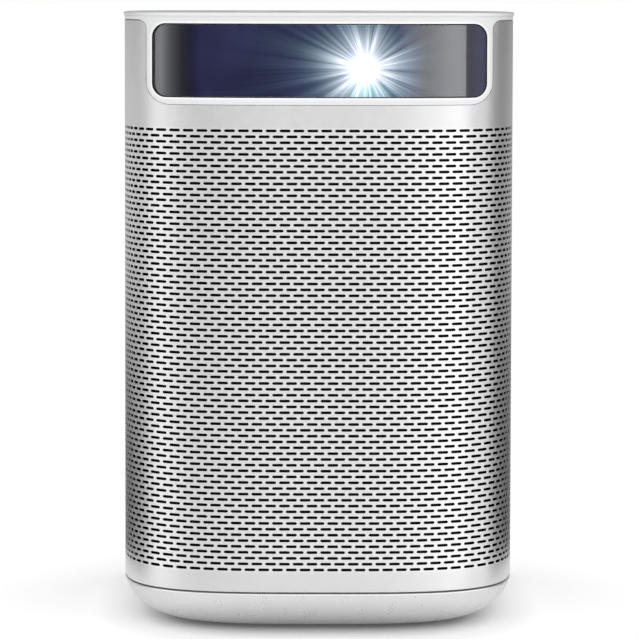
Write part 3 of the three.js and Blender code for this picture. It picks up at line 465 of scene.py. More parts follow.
def moulded(name, colour, roughness, tone=0.04, swing=0.05, grain=0.35 * MM, grain_depth=0.012 * MM,
            cloud=18 * MM, **fixed):
    """Moulded plastic or paint: slow tone clouds, a roughness that wanders, and a fine grain."""
    material, nodes, shader = new_material(name)
    at = nodes.place()
    clouds = nodes.noise(at, cloud, 3)
    colour_now = nodes.blend(nodes.spread(clouds, 0, 1), rgba(colour, 1 - tone), rgba(colour))
    fine = nodes.noise(at, grain, 2, 0.6)
    wander = nodes.math("MULTIPLY", nodes.noise(at, cloud / 4, 4), 0.6)
    mixed = nodes.math("ADD", wander, nodes.math("MULTIPLY", fine, 0.4))
    rough = nodes.spread(mixed, roughness - swing, roughness + swing)
    ripple = nodes.bump(nodes.noise(at, 6 * MM, 1), 0.02 * MM, 0.4)
    link(nodes, shader, Base_Color=colour_now, Roughness=rough,
         Normal=nodes.bump(fine, grain_depth, 0.6, below=ripple), **fixed)
    return material


def sleeve_metal(name):
    """Blasted aluminium with a painted highlight between the slots; painted shade blackens the slot walls and
    inside.
    """
    material, nodes, shader = new_material(name)
    at = nodes.place()
    mottle = nodes.noise(at, 2.4 * MM, 4, 0.6)
    low = LOWEST_ROW - ROW_PITCH / 2
    high = low + SLOT_ROWS * ROW_PITCH
    up = nodes.part(at, "Z")
    # Painted highlight: the slotted band is made lighter than the plain metal above and below it.
    inside = nodes.math("MULTIPLY", nodes.spread(up, 0, 1, low - 0.2 * MM, low + 0.2 * MM),
                        nodes.spread(up, 1, 0, high - 0.2 * MM, high + 0.2 * MM))
    bright = nodes.math("MULTIPLY_ADD", inside, SLOT_FIELD_PAINTED_HIGHLIGHT, nodes.spread(mottle, 0.745, 0.765))
    skin = nodes.add("CombineColor", {0: bright, 1: bright, 2: nodes.math("MULTIPLY", bright, 1.006)})
    # Painted shade: a little below the outer skin, on the slots' walls and the inside, the colour goes near
    # black.
    depth = nodes.spread(body_reach(nodes, at), 0, 1, 1 - 0.3 * MM / HALF_WIDTH, 1 - 0.12 * MM / HALF_WIDTH)
    pits = nodes.noise(at, 0.16 * MM, 2, 0.7)
    link(nodes, shader, Base_Color=nodes.blend(depth, rgba((0.012, 0.012, 0.013)), skin), Metallic=1.0,
         Roughness=nodes.spread(mottle, 0.28, 0.33), Normal=nodes.bump(pits, 0.004 * MM, 0.5))
    return material


def brushed_metal(name, colour, roughness, along=(1.0, 0.05, 1.0), tone=0.12):
    """Drawn or turned metal with fine streaks along one axis."""
    material, nodes, shader = new_material(name)
    at = nodes.stretched(nodes.place(), along)
    streaks = nodes.noise(at, 0.12 * MM, 3, 0.7)
    stain = nodes.noise(nodes.place(), 5 * MM, 3)
    tone_now = nodes.math("MULTIPLY_ADD", streaks, 0.5, nodes.math("MULTIPLY", stain, 0.5))
    colour_now = nodes.blend(nodes.spread(tone_now, 0, 1), rgba(colour, 1 - tone), rgba(colour))
    link(nodes, shader, Base_Color=colour_now, Metallic=1.0,
         Roughness=nodes.spread(streaks, roughness - 0.06, roughness + 0.08),
         Normal=nodes.bump(streaks, 0.006 * MM, 0.5))
    return material


def cap_plastic(name):
    """White moulded plastic, with a painted highlight: brighter in a thin line round the window's pocket."""
    material = moulded(name, (0.83, 0.835, 0.84), 0.3, tone=0.015, swing=0.015, Coat_Weight=0.15)
    nodes = Nodes(material.node_tree)
    shader = material.node_tree.nodes["Principled BSDF"]
    plain = shader.inputs["Base Color"].links[0].from_socket
    at = nodes.place()
    corner = POCKET["corner"]
    half_height = (POCKET["high"] - POCKET["low"]) / 2
    from_middle = nodes.vector("SUBTRACT", at, (0, 0, POCKET["low"] + half_height))
    corner_centre = (POCKET["half"] - corner, 1.0, half_height - corner)
    past_corner = nodes.vector("SUBTRACT", nodes.vector("ABSOLUTE", from_middle), corner_centre)
    outward = nodes.length(nodes.vector("MAXIMUM", past_corner))
    # Painted highlight: a thin band just outside the pocket's outline, on the front, turns pure white.
    line = nodes.spread(outward, 1.0, 0.0, corner + 0.2 * MM, corner + 0.65 * MM)
    on_front = nodes.math("LESS_THAN", nodes.part(at, "Y"), 0.0)
    white = nodes.math("MULTIPLY", line, on_front)
    link(nodes, shader, Base_Color=nodes.blend(white, plain, rgba((1.0, 1.0, 1.0))))
    return material

def circuit_board(name):
    """Green solder mask over a maze of traces, with tinned pads."""
    material, nodes, shader = new_material(name)
    at = nodes.place()
    cells = {"Vector": at, "Scale": 1 / (2.6 * MM), "Randomness": 0.35}
    cell = nodes.add("TexVoronoi", cells, output="Distance", distance="CHEBYCHEV")
    bands = nodes.math("PINGPONG", cell, 0.11)
    traces = nodes.math("GREATER_THAN", bands, 0.062)
    pads = nodes.math("LESS_THAN", cell, 0.13)
    shade = nodes.noise(at, 7 * MM, 3)
    mask = nodes.blend(nodes.spread(shade, 0, 1), rgba((0.012, 0.085, 0.05)), rgba((0.018, 0.12, 0.07)))
    board = nodes.blend(traces, mask, rgba((0.03, 0.19, 0.11)))
    link(nodes, shader, Base_Color=nodes.blend(pads, board, rgba((0.72, 0.7, 0.62))), Metallic=pads,
         Roughness=nodes.spread(shade, 0.3, 0.42),
         Normal=nodes.bump(nodes.math("ADD", traces, pads), 0.03 * MM, 0.6))
    return material


def cell_wrap(name):
    """Shrink-wrapped blue sleeve with faint lengthwise wrinkles."""
    material, nodes, shader = new_material(name)
    at = nodes.place()
    wrinkle = nodes.noise(nodes.stretched(at, (1, 1, 0.12)), 1.6 * MM, 3)
    shade = nodes.noise(at, 9 * MM, 3)
    colour = nodes.blend(nodes.spread(shade, 0, 1), rgba((0.035, 0.12, 0.34)), rgba((0.05, 0.16, 0.42)))
    link(nodes, shader, Base_Color=colour, Roughness=nodes.spread(wrinkle, 0.22, 0.36),
         Normal=nodes.bump(wrinkle, 0.05 * MM, 0.5), Coat_Weight=0.3)
    return material


def cone_paper(name):
    """Pressed fibre cone: dark, rough, with short fibres lying every way."""
    material, nodes, shader = new_material(name)
    at = nodes.place()
    fibres = nodes.noise(nodes.stretched(at, (1, 0.3, 1)), 0.35 * MM, 4, 0.7)
    crossed = nodes.noise(nodes.stretched(at, (1, 1, 0.3)), 0.4 * MM, 4, 0.7)
    both = nodes.math("MAXIMUM", fibres, crossed)
    tufts = nodes.spread(both, 0, 1, 0.45, 0.75)
    colour = nodes.blend(tufts, rgba((0.012, 0.012, 0.013)), rgba((0.05, 0.05, 0.052)))
    link(nodes, shader, Base_Color=colour, Roughness=nodes.spread(both, 0.8, 0.95), Sheen_Weight=0.3,
         Normal=nodes.bump(both, 0.06 * MM, 0.7))
    return material


def around_lens(nodes, at, shift=(0.0, 0.0)):
    """Where a place lies from the lens's axis, seen from the front, after a shift in X and Z."""
    centre = (LENS.x + shift[0], 0, LENS.z + shift[1])
    return nodes.vector("MULTIPLY", nodes.vector("SUBTRACT", at, centre), (1, 0, 1))

def lamp_glare(nodes, at):
    """Painted glare: how bright the lit lens makes the glass, a soft white core with uneven rays, longest
    leftward.
    """
    flat = around_lens(nodes, at, GLARE_SHIFT)
    distance = nodes.math("DIVIDE", nodes.length(flat), MM)
    direction = nodes.vector("NORMALIZE", flat)
    coarse = nodes.add("TexNoise", {"Vector": direction, "Scale": 2.1, "Detail": 2.0})
    fine = nodes.add("TexNoise", {"Vector": direction, "Scale": 9.0, "Detail": 4.0, "Roughness": 0.7})
    broad_rays = nodes.spread(coarse, 0.3, 1, 0.36, 0.62)
    thin_rays = nodes.spread(fine, 0, 1, 0.34, 0.68)
    rays = nodes.math("MULTIPLY", broad_rays, thin_rays)
    beyond_core = nodes.spread(distance, 0, 1, GLARE_CORE, 2 * GLARE_CORE)
    contrast = nodes.math("MULTIPLY_ADD", rays, RAY_CONTRAST, -RAY_DARKNESS)
    unevenness = nodes.math("MULTIPLY_ADD", beyond_core, contrast, 1.0)
    halo = nodes.bell(nodes.math("DIVIDE", distance, GLARE_REACH))
    uneven_halo = nodes.math("MULTIPLY", nodes.math("MULTIPLY", halo, GLARE_STRENGTH), unevenness)
    leftward = nodes.spread(nodes.part(direction, "X"), 0.62, 0.1, -1.0, 0.3)
    fading = nodes.math("EXPONENT", nodes.math("DIVIDE", distance, -GLARE_REACH))
    long_rays = nodes.math("MULTIPLY", rays, leftward)
    tail = nodes.math("MULTIPLY", long_rays, nodes.math("MULTIPLY", fading, beyond_core))
    return nodes.math("ADD", uneven_halo, tail)

def window_glass(name):
    """Dark tinted acrylic with a hard gloss; painted light: the lens's glare across it, a haze glow and a
    pale green glint below.
    """
    material, nodes, shader = new_material(name)
    at = nodes.place()
    glare = lamp_glare(nodes, at)
    along = nodes.part(at, "X")
    # Painted haze glow: faint bluish emission over the middle of the window and along its far right edge.
    left = nodes.spread(along, 0.05, 1.0, -32 * MM, -28 * MM)
    right = nodes.spread(along, 1.0, 0.05, 20 * MM, 25 * MM)
    far = nodes.spread(along, 0.0, 0.8, 35.5 * MM, 36.5 * MM)
    cloud = nodes.spread(nodes.noise(at, 14 * MM, 2), 0.75, 1.25)
    painted_haze_glow = nodes.math("MULTIPLY", cloud, nodes.math("ADD", nodes.math("MULTIPLY", left, right), far))
    # Painted glint: a small pale spot below and beside the lens.
    from_glint = nodes.vector("MULTIPLY", around_lens(nodes, at, GLINT_SHIFT), GLINT_SHARPNESS)
    glint = nodes.bell(nodes.length(from_glint))
    channels = []
    for glare_power, painted_haze_share, glint_share in WINDOW_CHANNELS:
        lit = nodes.math("MULTIPLY_ADD", painted_haze_glow, painted_haze_share, nodes.math("POWER", glare, glare_power))
        channels.append(nodes.math("MULTIPLY_ADD", glint, glint_share, lit))
    glow = nodes.add("CombineColor", dict(enumerate(channels)))
    smudge = nodes.noise(at, 8 * MM, 4)
    link(nodes, shader, Base_Color=rgba((0.16, 0.17, 0.24)), Transmission_Weight=1.0, IOR=2.2,
         Roughness=nodes.spread(smudge, 0.0, 0.015, 0.5, 0.8), Emission_Color=glow, Emission_Strength=1.0,
         Normal=nodes.bump(nodes.noise(at, 20 * MM, 1), 0.01 * MM, 0.2))
    return material

def lens_glass(name):
    """Coated optical glass, lit from behind and brightest at its middle."""
    material, nodes, shader = new_material(name)
    at = nodes.place()
    tone = nodes.spread(nodes.noise(at, 5 * MM, 2), 0, 1)
    tint = nodes.blend(tone, rgba((0.8, 0.9, 1.0)), rgba((0.9, 0.96, 1.0)))
    # Painted light: the glow of the lamp behind the lens is emission, strongest at its middle.
    lit = nodes.spread(nodes.length(around_lens(nodes, at)), 1.6, 0.0, 0.5 * MM, 4.2 * MM)
    link(nodes, shader, Base_Color=tint, Transmission_Weight=0.9, IOR=1.7, Coat_Weight=0.6,
         Coat_Tint=rgba((0.75, 0.6, 1.0)), Roughness=nodes.spread(nodes.noise(at, 1 * MM, 2), 0.0, 0.03),
         Emission_Color=tint, Emission_Strength=lit)
    return material

def light_pipe(name):
    material, nodes, shader = new_material(name)
    at = nodes.place()
    soft = nodes.noise(at, 0.5 * MM, 2)
    colour = nodes.blend(nodes.spread(soft, 0, 1), rgba((0.8, 0.88, 0.95)), rgba((0.9, 0.95, 1.0)))
    link(nodes, shader, Base_Color=colour, Roughness=nodes.spread(soft, 0.2, 0.35), Transmission_Weight=0.5,
         Emission_Color=colour, Emission_Strength=0.5)
    return material


FINISH_MAKERS = {
    "sleeve_aluminium": sleeve_metal,
    "cap_plastic": cap_plastic,
    "base_plastic": lambda name: moulded(name, (0.86, 0.86, 0.865), 0.3, tone=0.02, Metallic=0.65),
    "window_glass": window_glass,
    "lens_glass": lens_glass,
    "black_plastic": lambda name: moulded(name, (0.012, 0.012, 0.013), 0.55, tone=0.3, grain_depth=0.03 * MM),
    "grey_plastic": lambda name: moulded(name, (0.12, 0.122, 0.125), 0.45, tone=0.12, grain_depth=0.02 * MM),
    "rubber": lambda name: moulded(
        name, (0.03, 0.03, 0.031), 0.8, tone=0.35, grain=0.5 * MM, grain_depth=0.06 * MM,
    ),
    "brass": lambda name: brushed_metal(name, (0.78, 0.57, 0.26), 0.3),
    "steel": lambda name: brushed_metal(name, (0.62, 0.63, 0.65), 0.28),
    "copper": lambda name: brushed_metal(name, (0.8, 0.42, 0.27), 0.3, along=(1, 1, 0.05)),
    "circuit_board": circuit_board,
    "sink_aluminium": lambda name: brushed_metal(name, (0.7, 0.71, 0.72), 0.36, along=(1, 0.05, 1)),
    "cell_wrap": cell_wrap,
    "cone_paper": cone_paper,
    "light_pipe": light_pipe,
}
made_finishes = {}


def finish(slot):
    if slot not in made_finishes:
        made_finishes[slot] = FINISH_MAKERS[slot](slot + "_finish")
    return made_finishes[slot]


# ---------- Sleeve with its slots ----------

def slot_corners():
    """Eight (along, up) points of a round-ended slot about its middle, counter-clockwise from outside."""
    end = SLOT_HEIGHT / 2
    straight = SLOT_LENGTH / 2 - end * 0.8
    reach, rise = SLOT_LENGTH / 2, end * 0.5
    return [
        (-straight, -end), (straight, -end), (reach, -rise), (reach, rise),
        (straight, end), (-straight, end), (-reach, rise), (-reach, -rise),
    ]


def slot_allowed(x, y, z):
    """No slots where the rear panel sits."""
    margin = 2.4 * MM
    return y < 0 or abs(x) > PANEL["half"] + margin or z > PANEL["high"] + margin


def sleeve_section(name, first_row, last_row, below, above):
    """Rows of slots from first_row to last_row, with plain loops of (depth, z) below and above them."""
    steps = 2 * SLOTS_PER_ROW
    half_pitch = outline.perimeter / steps
    row_levels = [LOWEST_ROW + (row - 0.5) * ROW_PITCH for row in range(first_row, last_row + 2)]
    profile = below + [(0.0, z) for z in row_levels] + above
    outer = [(outline.loop(steps, depth), z) for depth, z in profile]
    inner = [(outline.loop(steps, SLEEVE_WALL), z) for _, z in profile]
    points = [(x, y, z) for ring, z in outer + inner for x, y in ring]
    rim = slot_corners()
    rim_along = np.array([along for along, _ in rim])
    faces = []

    def at(level, step, inside):
        return (len(outer) * steps if inside else 0) + level * steps + step % steps

    def add_face(corners, inside):
        faces.append(tuple(reversed(corners)) if inside else tuple(corners))

    def add_plain(level, step, inside):
        add_face([at(level, step, inside), at(level, step + 1, inside),
                  at(level + 1, step + 1, inside), at(level + 1, step, inside)], inside)

    def add_slot(level, middle_step, z, inside):
        """The skin round one slot; hands back the slot's own rim."""
        low = [at(level, middle_step + offset, inside) for offset in (-1, 0, 1)]
        high = [at(level + 1, middle_step + offset, inside) for offset in (-1, 0, 1)]
        xs, ys = outline.points(middle_step * half_pitch + rim_along, SLEEVE_WALL if inside else 0.0)
        h = list(range(len(points), len(points) + len(rim)))
        points.extend((x, y, z + up) for x, y, (_, up) in zip(xs, ys, rim))
        for corners in (
            [low[0], low[1], h[0]], [low[1], h[1], h[0]], [low[1], low[2], h[1]], [low[2], h[2], h[1]],
            [low[2], high[2], h[3], h[2]], [high[2], h[4], h[3]], [high[2], high[1], h[4]],
            [high[1], h[5], h[4]], [high[1], high[0], h[5]], [high[0], h[6], h[5]],
            [high[0], low[0], h[7], h[6]], [low[0], h[0], h[7]],
        ):
            add_face(corners, inside)
        return h

    for level in range(len(profile) - 1):
        row = level - len(below) + first_row
        if not first_row <= row <= last_row:
            for step in range(steps):
                add_plain(level, step, False)
                add_plain(level, step, True)
            continue
        z = LOWEST_ROW + row * ROW_PITCH
        for number in range(SLOTS_PER_ROW):
            middle_step = 2 * number + row % 2
            x, y = outline.points(np.array([middle_step * half_pitch]))
            if not slot_allowed(x[0], y[0], z):
                for step in (middle_step - 1, middle_step):
                    add_plain(level, step, False)
                    add_plain(level, step, True)
                continue
            front_rim = add_slot(level, middle_step, z, False)
            back_rim = add_slot(level, middle_step, z, True)
            for corner in range(len(rim)):
                after = (corner + 1) % len(rim)
                faces.append((front_rim[corner], front_rim[after], back_rim[after], back_rim[corner]))
    last = len(profile) - 1
    for step in range(steps):
        faces.append((at(0, step + 1, False), at(0, step, False), at(0, step, True), at(0, step + 1, True)))
        faces.append((at(last, step, False), at(last, step + 1, False),
                      at(last, step + 1, True), at(last, step, True)))
    return make_piece(name, points, faces)


def notch_shape(gap):
    """The front notch that the bezel fills; a gap gives the smaller bezel."""
    half = NOTCH_HALF - gap
    low = NOTCH_BOTTOM + gap
    corner = NOTCH_CORNER - gap
    flare = NOTCH_FLARE + gap
    top = SLEEVE_TOP + gap
    above = top + 0.6 * MM
    return ([(half + flare, above), (-half - flare, above)]
            + arc(-half - flare, top - flare, flare, 90, 0)
            + arc(-half + corner, low + corner, corner, 180, 270)
            + arc(half - corner, low + corner, corner, 270, 360)
            + arc(half + flare, top - flare, flare, 180, 90))


def build_sleeve():
    split = SLOT_ROWS // 2
    fillet = [(0.16 * MM, 0.0), (0.05 * MM, 0.05 * MM), (0.0, 0.16 * MM)]
    bottom_loops = [(depth, SLEEVE_BOTTOM + rise) for depth, rise in fillet]
    top_loops = [(depth, SLEEVE_TOP - rise) for depth, rise in reversed(fillet)]
    lower = sleeve_section("sleeve_lower", 0, split - 1, bottom_loops, [])
    upper = sleeve_section("sleeve_upper", split, SLOT_ROWS - 1, [], top_loops)
    hole = rounded_rectangle(**shrink(PANEL, -0.12 * MM))
    boolean(lower, slab("panel_cutter", hole, 0.6 * HALF_DEPTH, REAR))
    boolean(upper, slab("notch_cutter", notch_shape(0.0)))
    for section in (lower, upper):
        smooth(section)
        place(section, "body", "sleeve_aluminium", "sleeve")


# ---------- Cap, keys and window ----------

def key_hole_cutter(centre):
    radius = KEY_RADIUS + KEY_GAP
    cutter = revolve("key_hole", [
        (0, TOP - 4 * MM), (radius, TOP - 4 * MM), (radius, TOP - 0.3 * MM),
        (radius + 0.3 * MM, TOP), (radius + 0.3 * MM, TOP + 1 * MM), (0, TOP + 1 * MM),
    ])
    return shift(cutter, centre.x, centre.y)


def build_cap():
    low = SLEEVE_TOP + 0.06 * MM
    cap = outline_body("cap_shell", [
        (0.12 * MM, low), (0.0, low + 0.12 * MM), (0.0, TOP - 1.0 * MM), (-0.7 * RIM_PROUD, TOP - 0.92 * MM),
        (-RIM_PROUD, TOP - 0.78 * MM), (-RIM_PROUD, TOP - 0.35 * MM), (-0.55 * RIM_PROUD, TOP - 0.13 * MM),
        (0.15 * MM, TOP - 0.02 * MM), (0.5 * MM, TOP),
    ])
    bezel = outline_wall("bezel", 0.0, BEZEL_DEPTH, NOTCH_BOTTOM, low + 0.4 * MM)
    boolean(bezel, slab("bezel_shape", notch_shape(0.1 * MM)), "INTERSECT")
    boolean(cap, bezel, "UNION")
    skirt_outer = SLEEVE_WALL + 0.3 * MM
    skirt = outline_wall("skirt", skirt_outer, skirt_outer + 1.2 * MM, TOP - 5.6 * MM, low + 0.4 * MM, 210)
    boolean(cap, skirt, "UNION")
    pocket = outline_wall("pocket", -2 * MM, POCKET_DEPTH, NOTCH_BOTTOM, TOP)
    boolean(pocket, slab("pocket_shape", rounded_rectangle(**POCKET)), "INTERSECT")
    boolean(cap, pocket)
    boolean(cap, slab("sight", rounded_rectangle(**SIGHT)))
    for name in KEYS:
        boolean(cap, key_hole_cutter(middle(name)))
    smooth(cap)
    place(cap, "body", "cap_plastic", "top_cap")


def icon_shapes(icon, size=1.9 * MM, bar=0.28 * MM):
    """Flat outlines of a generic key icon, counter-clockwise, about the key's middle."""
    across = [(-size, -bar), (size, -bar), (size, bar), (-size, bar)]
    upright = [(-bar, -size), (bar, -size), (bar, size), (-bar, size)]
    triangle = [(-0.62 * size, -0.9 * size), (0.95 * size, 0.0), (-0.62 * size, 0.9 * size)]
    return {"minus": [across], "plus": [across, upright], "play": [triangle]}[icon]


def upright_prism(name, shape, low, high):
    loops = [(np.array(shape), low), (np.array(shape), high)]
    return stack_loops(name, loops)


def icon_solid(name, icon, low, high, grow=1.0):
    shapes = [[(x * grow, y * grow) for x, y in shape] for shape in icon_shapes(icon)]
    solids = [upright_prism(name, shape, low, high) for shape in shapes]
    first = solids[0]
    for other in solids[1:]:
        boolean(first, other, "UNION")
    first.name = name
    return first


def key_profile(radius, top, dish, stem, foot, flange, flange_span):
    """(radius, height) of a key, from the foot of its stem over its flange to its dished top."""
    low, high = flange_span
    bowl_edge = 0.86
    shares = (0.8, 0.6, 0.4, 0.2, 0.0)
    bowl = [(radius * share, top - dish * (1 - (share / bowl_edge) ** 2)) for share in shares]
    return [
        (0, foot), (stem, foot), (stem, low), (flange, low), (flange, high), (radius, high),
        (radius, top - 0.35 * MM), (radius - 0.1 * MM, top - 0.1 * MM), (radius - 0.35 * MM, top),
        (radius * bowl_edge, top - 0.01 * MM), *bowl,
    ]

def build_keys():
    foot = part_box("play_button")[0].z
    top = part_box("play_button")[1].z
    dish = 0.28 * MM
    flange_span = (top - 2.8 * MM, top - 1.8 * MM)
    for node, icon in KEYS.items():
        centre = middle(node)
        profile = key_profile(KEY_RADIUS, top, dish, 1.6 * MM, foot, 6.7 * MM, flange_span)
        key = revolve(node + "_cap", profile, 96)
        floor = top - dish - 0.2 * MM
        boolean(key, icon_solid("icon_cutter", icon, floor, top + 1 * MM))
        shift(key, centre.x, centre.y)
        smooth(key)
        place(key, node, "cap_plastic", node)
        inlay = icon_solid(icon + "_icon", icon, floor + 0.01 * MM, top - dish - 0.03 * MM, 0.99)
        shift(inlay, centre.x, centre.y)
        place(inlay, node, "grey_plastic")


def build_window():
    pane = outline_wall("window_pane", WINDOW_FRONT, WINDOW_BACK, NOTCH_BOTTOM, SLEEVE_TOP)
    boolean(pane, slab("pane_shape", rounded_rectangle(**shrink(POCKET, 0.3 * MM))), "INTERSECT")
    round_edges(pane, 0.15 * MM)
    place(pane, "body", "window_glass", "window")
    seal_front = WINDOW_BACK + 0.25 * MM
    seal_back = WINDOW_BACK + 0.9 * MM
    gasket = outline_wall("window_seal", seal_front, seal_back, NOTCH_BOTTOM, SLEEVE_TOP)
    boolean(gasket, slab("seal_shape", rounded_rectangle(**shrink(POCKET, 0.15 * MM))), "INTERSECT")
    boolean(gasket, slab("seal_hole", rounded_rectangle(**shrink(SIGHT, -0.15 * MM))))
    smooth(gasket)
    place(gasket, "body", "rubber", "window_gasket")


def build_baffle():
    """Black baffle behind the window, with holes for the lens, the focus camera and the remote receiver."""
    baffle = outline_wall("baffle", 4.7 * MM, 5.9 * MM, NOTCH_BOTTOM, SLEEVE_TOP)
    boolean(baffle, slab("baffle_shape", rounded_rectangle(**BAFFLE)), "INTERSECT")
    camera_eye = middle("focus_camera")
    receiver = middle("remote_receiver")
    for eye, radius in ((LENS, 8.0 * MM), (camera_eye, 3.7 * MM), (receiver, 2.7 * MM)):
        boolean(baffle, slab("hole", circle(eye.x, eye.z, radius)))
    round_edges(baffle, 0.15 * MM)
    place(baffle, "body", "black_plastic", "light_shield")


# ---------- Base and foot ----------

def base_profile(steps=22):
    """(inset, z) from the flat bottom up the curve to the small chamfer at the seam."""
    start = math.asin((BASE_CURVE_HEIGHT - (SEAM - BASE_BOTTOM)) / BASE_CURVE_HEIGHT)
    profile = []
    for step in range(steps, 0, -1):
        angle = start + (math.pi / 2 - start) * step / steps
        inset = BASE_CURVE_WIDTH * (math.cos(start) - math.cos(angle))
        profile.append((inset, SEAM - BASE_CURVE_HEIGHT * (math.sin(angle) - math.sin(start))))
    profile.append((0.0, SEAM - 0.4 * MM))
    profile.append((0.06 * MM, SEAM - 0.14 * MM))
    profile.append((0.4 * MM, SEAM + 0.1 * MM))
    return profile


def rod(name, x, y, radius, low, high, sides=48):
    return shift(revolve(name, [(0, low), (radius, low), (radius, high), (0, high)], sides), x, y)


def build_base():
    base = outline_body("base_shell", base_profile(), smooth_angle=45)
    floor = BASE_BOTTOM + BASE_WALL
    cavity = outline_body("cavity", [
        (BASE_CURVE_WIDTH + BASE_WALL, floor), (0.45 * BASE_CURVE_WIDTH + BASE_WALL, floor + 1.2 * MM),
        (0.14 * BASE_CURVE_WIDTH + BASE_WALL, floor + 4 * MM), (BASE_WALL, SEAM + 1 * MM),
    ], 210)
    boolean(base, cavity)
    foot_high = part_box("rubber_foot")[1]
    outer = HALF_WIDTH - foot_high.x
    inner = outer + 10.9 * MM
    loose = 0.25 * MM
    recess_top = foot_high.z + 0.15 * MM
    boolean(base, outline_wall("recess", outer - loose, inner + loose, BELOW, recess_top, 210))
    lip_outer = SLEEVE_WALL + 0.3 * MM
    lip = outline_wall("lip", lip_outer, lip_outer + 1.1 * MM, SEAM - 1.5 * MM, SEAM + 2.2 * MM, 210)
    boolean(base, lip, "UNION")
    insert_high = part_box("tripod_insert")[1]
    boss_radius = insert_high.x + 2.2 * MM
    boolean(base, rod("boss", 0, 0, boss_radius, BASE_BOTTOM + 0.5 * MM, SEAM + 1.2 * MM), "UNION")
    for x, y in SCREWS:
        boolean(base, rod("boss", x, y, 4.4 * MM, floor - 0.5 * MM, SEAM + 1.9 * MM), "UNION")
        boolean(base, rod("head_hole", x, y, 2.7 * MM, BELOW, 5.6 * MM))
        boolean(base, rod("shank_hole", x, y, 1.7 * MM, 5 * MM, SEAM + 4 * MM))
    boolean(base, rod("insert_hole", 0, 0, insert_high.x + 0.2 * MM, BELOW, insert_high.z + 0.2 * MM, 64))
    smooth(base, 40)
    place(base, "body", "base_plastic", "base_cover")

    top = foot_high.z
    foot = outline_body("foot_pad", [
        (outer + 0.35 * MM, 0), (outer + 0.08 * MM, 0.1 * MM), (outer, 0.4 * MM), (outer, top),
        (inner, top), (inner, 0.4 * MM), (inner - 0.08 * MM, 0.1 * MM), (inner - 0.35 * MM, 0),
    ], 240, closed_ring=True)
    place(foot, "body", "rubber", "rubber_foot")


def build_tripod_insert():
    """Brass insert with the ridges of a 1/4 inch thread and a chamfered mouth."""
    low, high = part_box("tripod_insert")
    outer = high.x
    crest = 2.55 * MM
    root = 3.12 * MM
    pitch = 1.27 * MM
    turns = 5
    end = low.z + THREAD_DEPTH
    thread = []
    for turn in range(turns, 0, -1):
        z = low.z + pitch * turn
        thread += [(root, z), (root, z - 0.16 * pitch), (crest, z - 0.5 * pitch), (crest, z - 0.66 * pitch)]
    thread[-1] = (root, low.z + 0.3 * MM)
    insert = revolve("tripod_nut", [
        (3.6 * MM, low.z), (outer - 0.3 * MM, low.z), (outer, low.z + 0.3 * MM), (outer, high.z),
        (0, high.z), (0, end), (root, end), *thread,
    ], 96, closed=True)
    place(insert, "body", "brass", "tripod_insert")


# ---------- Rear panel, ports and power key ----------

def port_shape(node, margin):
    low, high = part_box(node)
    return {"half": (high.x - low.x) / 2 + margin, "low": low.z - margin, "high": high.z + margin,
            "corner": 0.6 * MM + margin, "centre": (low.x + high.x) / 2}


def panel_surface(x, inset=0.4 * MM):
    """Y of the rear panel's face at this x."""
    share = 1 - (abs(x) / (HALF_WIDTH - inset)) ** OUTLINE_POWER
    return (HALF_DEPTH - inset) * share ** (1 / OUTLINE_POWER)


def sunk_hole(panel, shape_at, chamfer=0.35 * MM):
    """Cuts a hole, with a small chamfer along the curved face; shape_at gives its outline for a margin."""
    inner, outer = shape_at(0.0), shape_at(chamfer)
    count = len(inner)
    loops = [[(x, 0.6 * HALF_DEPTH, z) for x, z in inner]]
    loops.append([(x, panel_surface(x) - chamfer, z) for x, z in inner])
    loops.append([(x, panel_surface(x) + 0.02 * MM, z) for x, z in outer])
    loops.append([(x, REAR, z) for x, z in outer])
    points = [point for loop in loops for point in loop]
    last = (len(loops) - 1) * count
    faces = [tuple(range(count)), tuple(reversed(range(last, last + count)))]
    for band in range(0, last, count):
        for step in range(count):
            after = (step + 1) % count
            faces.append((band + step, band + count + step, band + count + after, band + after))
    boolean(panel, make_piece("hole", points, faces))


def build_rear_panel():
    panel = outline_wall("port_panel", 0.4 * MM, 2.2 * MM, PANEL["low"] - 1 * MM, PANEL["high"] + 1 * MM)
    boolean(panel, slab("panel_shape", rounded_rectangle(**PANEL), 0.6 * HALF_DEPTH, REAR), "INTERSECT")
    round_edges(panel, 0.2 * MM)
    for node in ("hdmi_port", "usb_port"):
        sunk_hole(panel, lambda margin, port=node: rounded_rectangle(**port_shape(port, 0.2 * MM + margin)))
    round_holes = {
        "dc_jack": 3.9 * MM, "audio_jack": 2.6 * MM, "power_button": POWER_KEY_RADIUS,
        "status_light": 1.0 * MM,
    }
    for node, radius in round_holes.items():
        centre = middle(node)
        sunk_hole(panel, lambda margin, c=centre, r=radius: circle(c.x, c.z, r + 0.18 * MM + margin))
    smooth(panel)
    place(panel, "body", "cap_plastic", "rear_panel")
    for node in ("hdmi_port", "usb_port", "dc_jack", "audio_jack"):
        round_edges(frame["nodes"][node], 0.12 * MM)


def ring_sector(name, radius, width, start, end, low, high, steps=24):
    outer = arc(0, 0, radius + width / 2, start, end, steps)
    inner = arc(0, 0, radius - width / 2, end, start, steps)
    return upright_prism(name, outer + inner, low, high)


def power_icon(name, low, high, width):
    """The usual power sign: a broken ring with an upright stroke."""
    icon = ring_sector(name, 1.7 * MM, width, 125, 415, low, high)
    stroke = [(-width / 2, 0.5 * MM), (width / 2, 0.5 * MM), (width / 2, 2.5 * MM), (-width / 2, 2.5 * MM)]
    return icon, upright_prism(name + "_stroke", stroke, low, high)


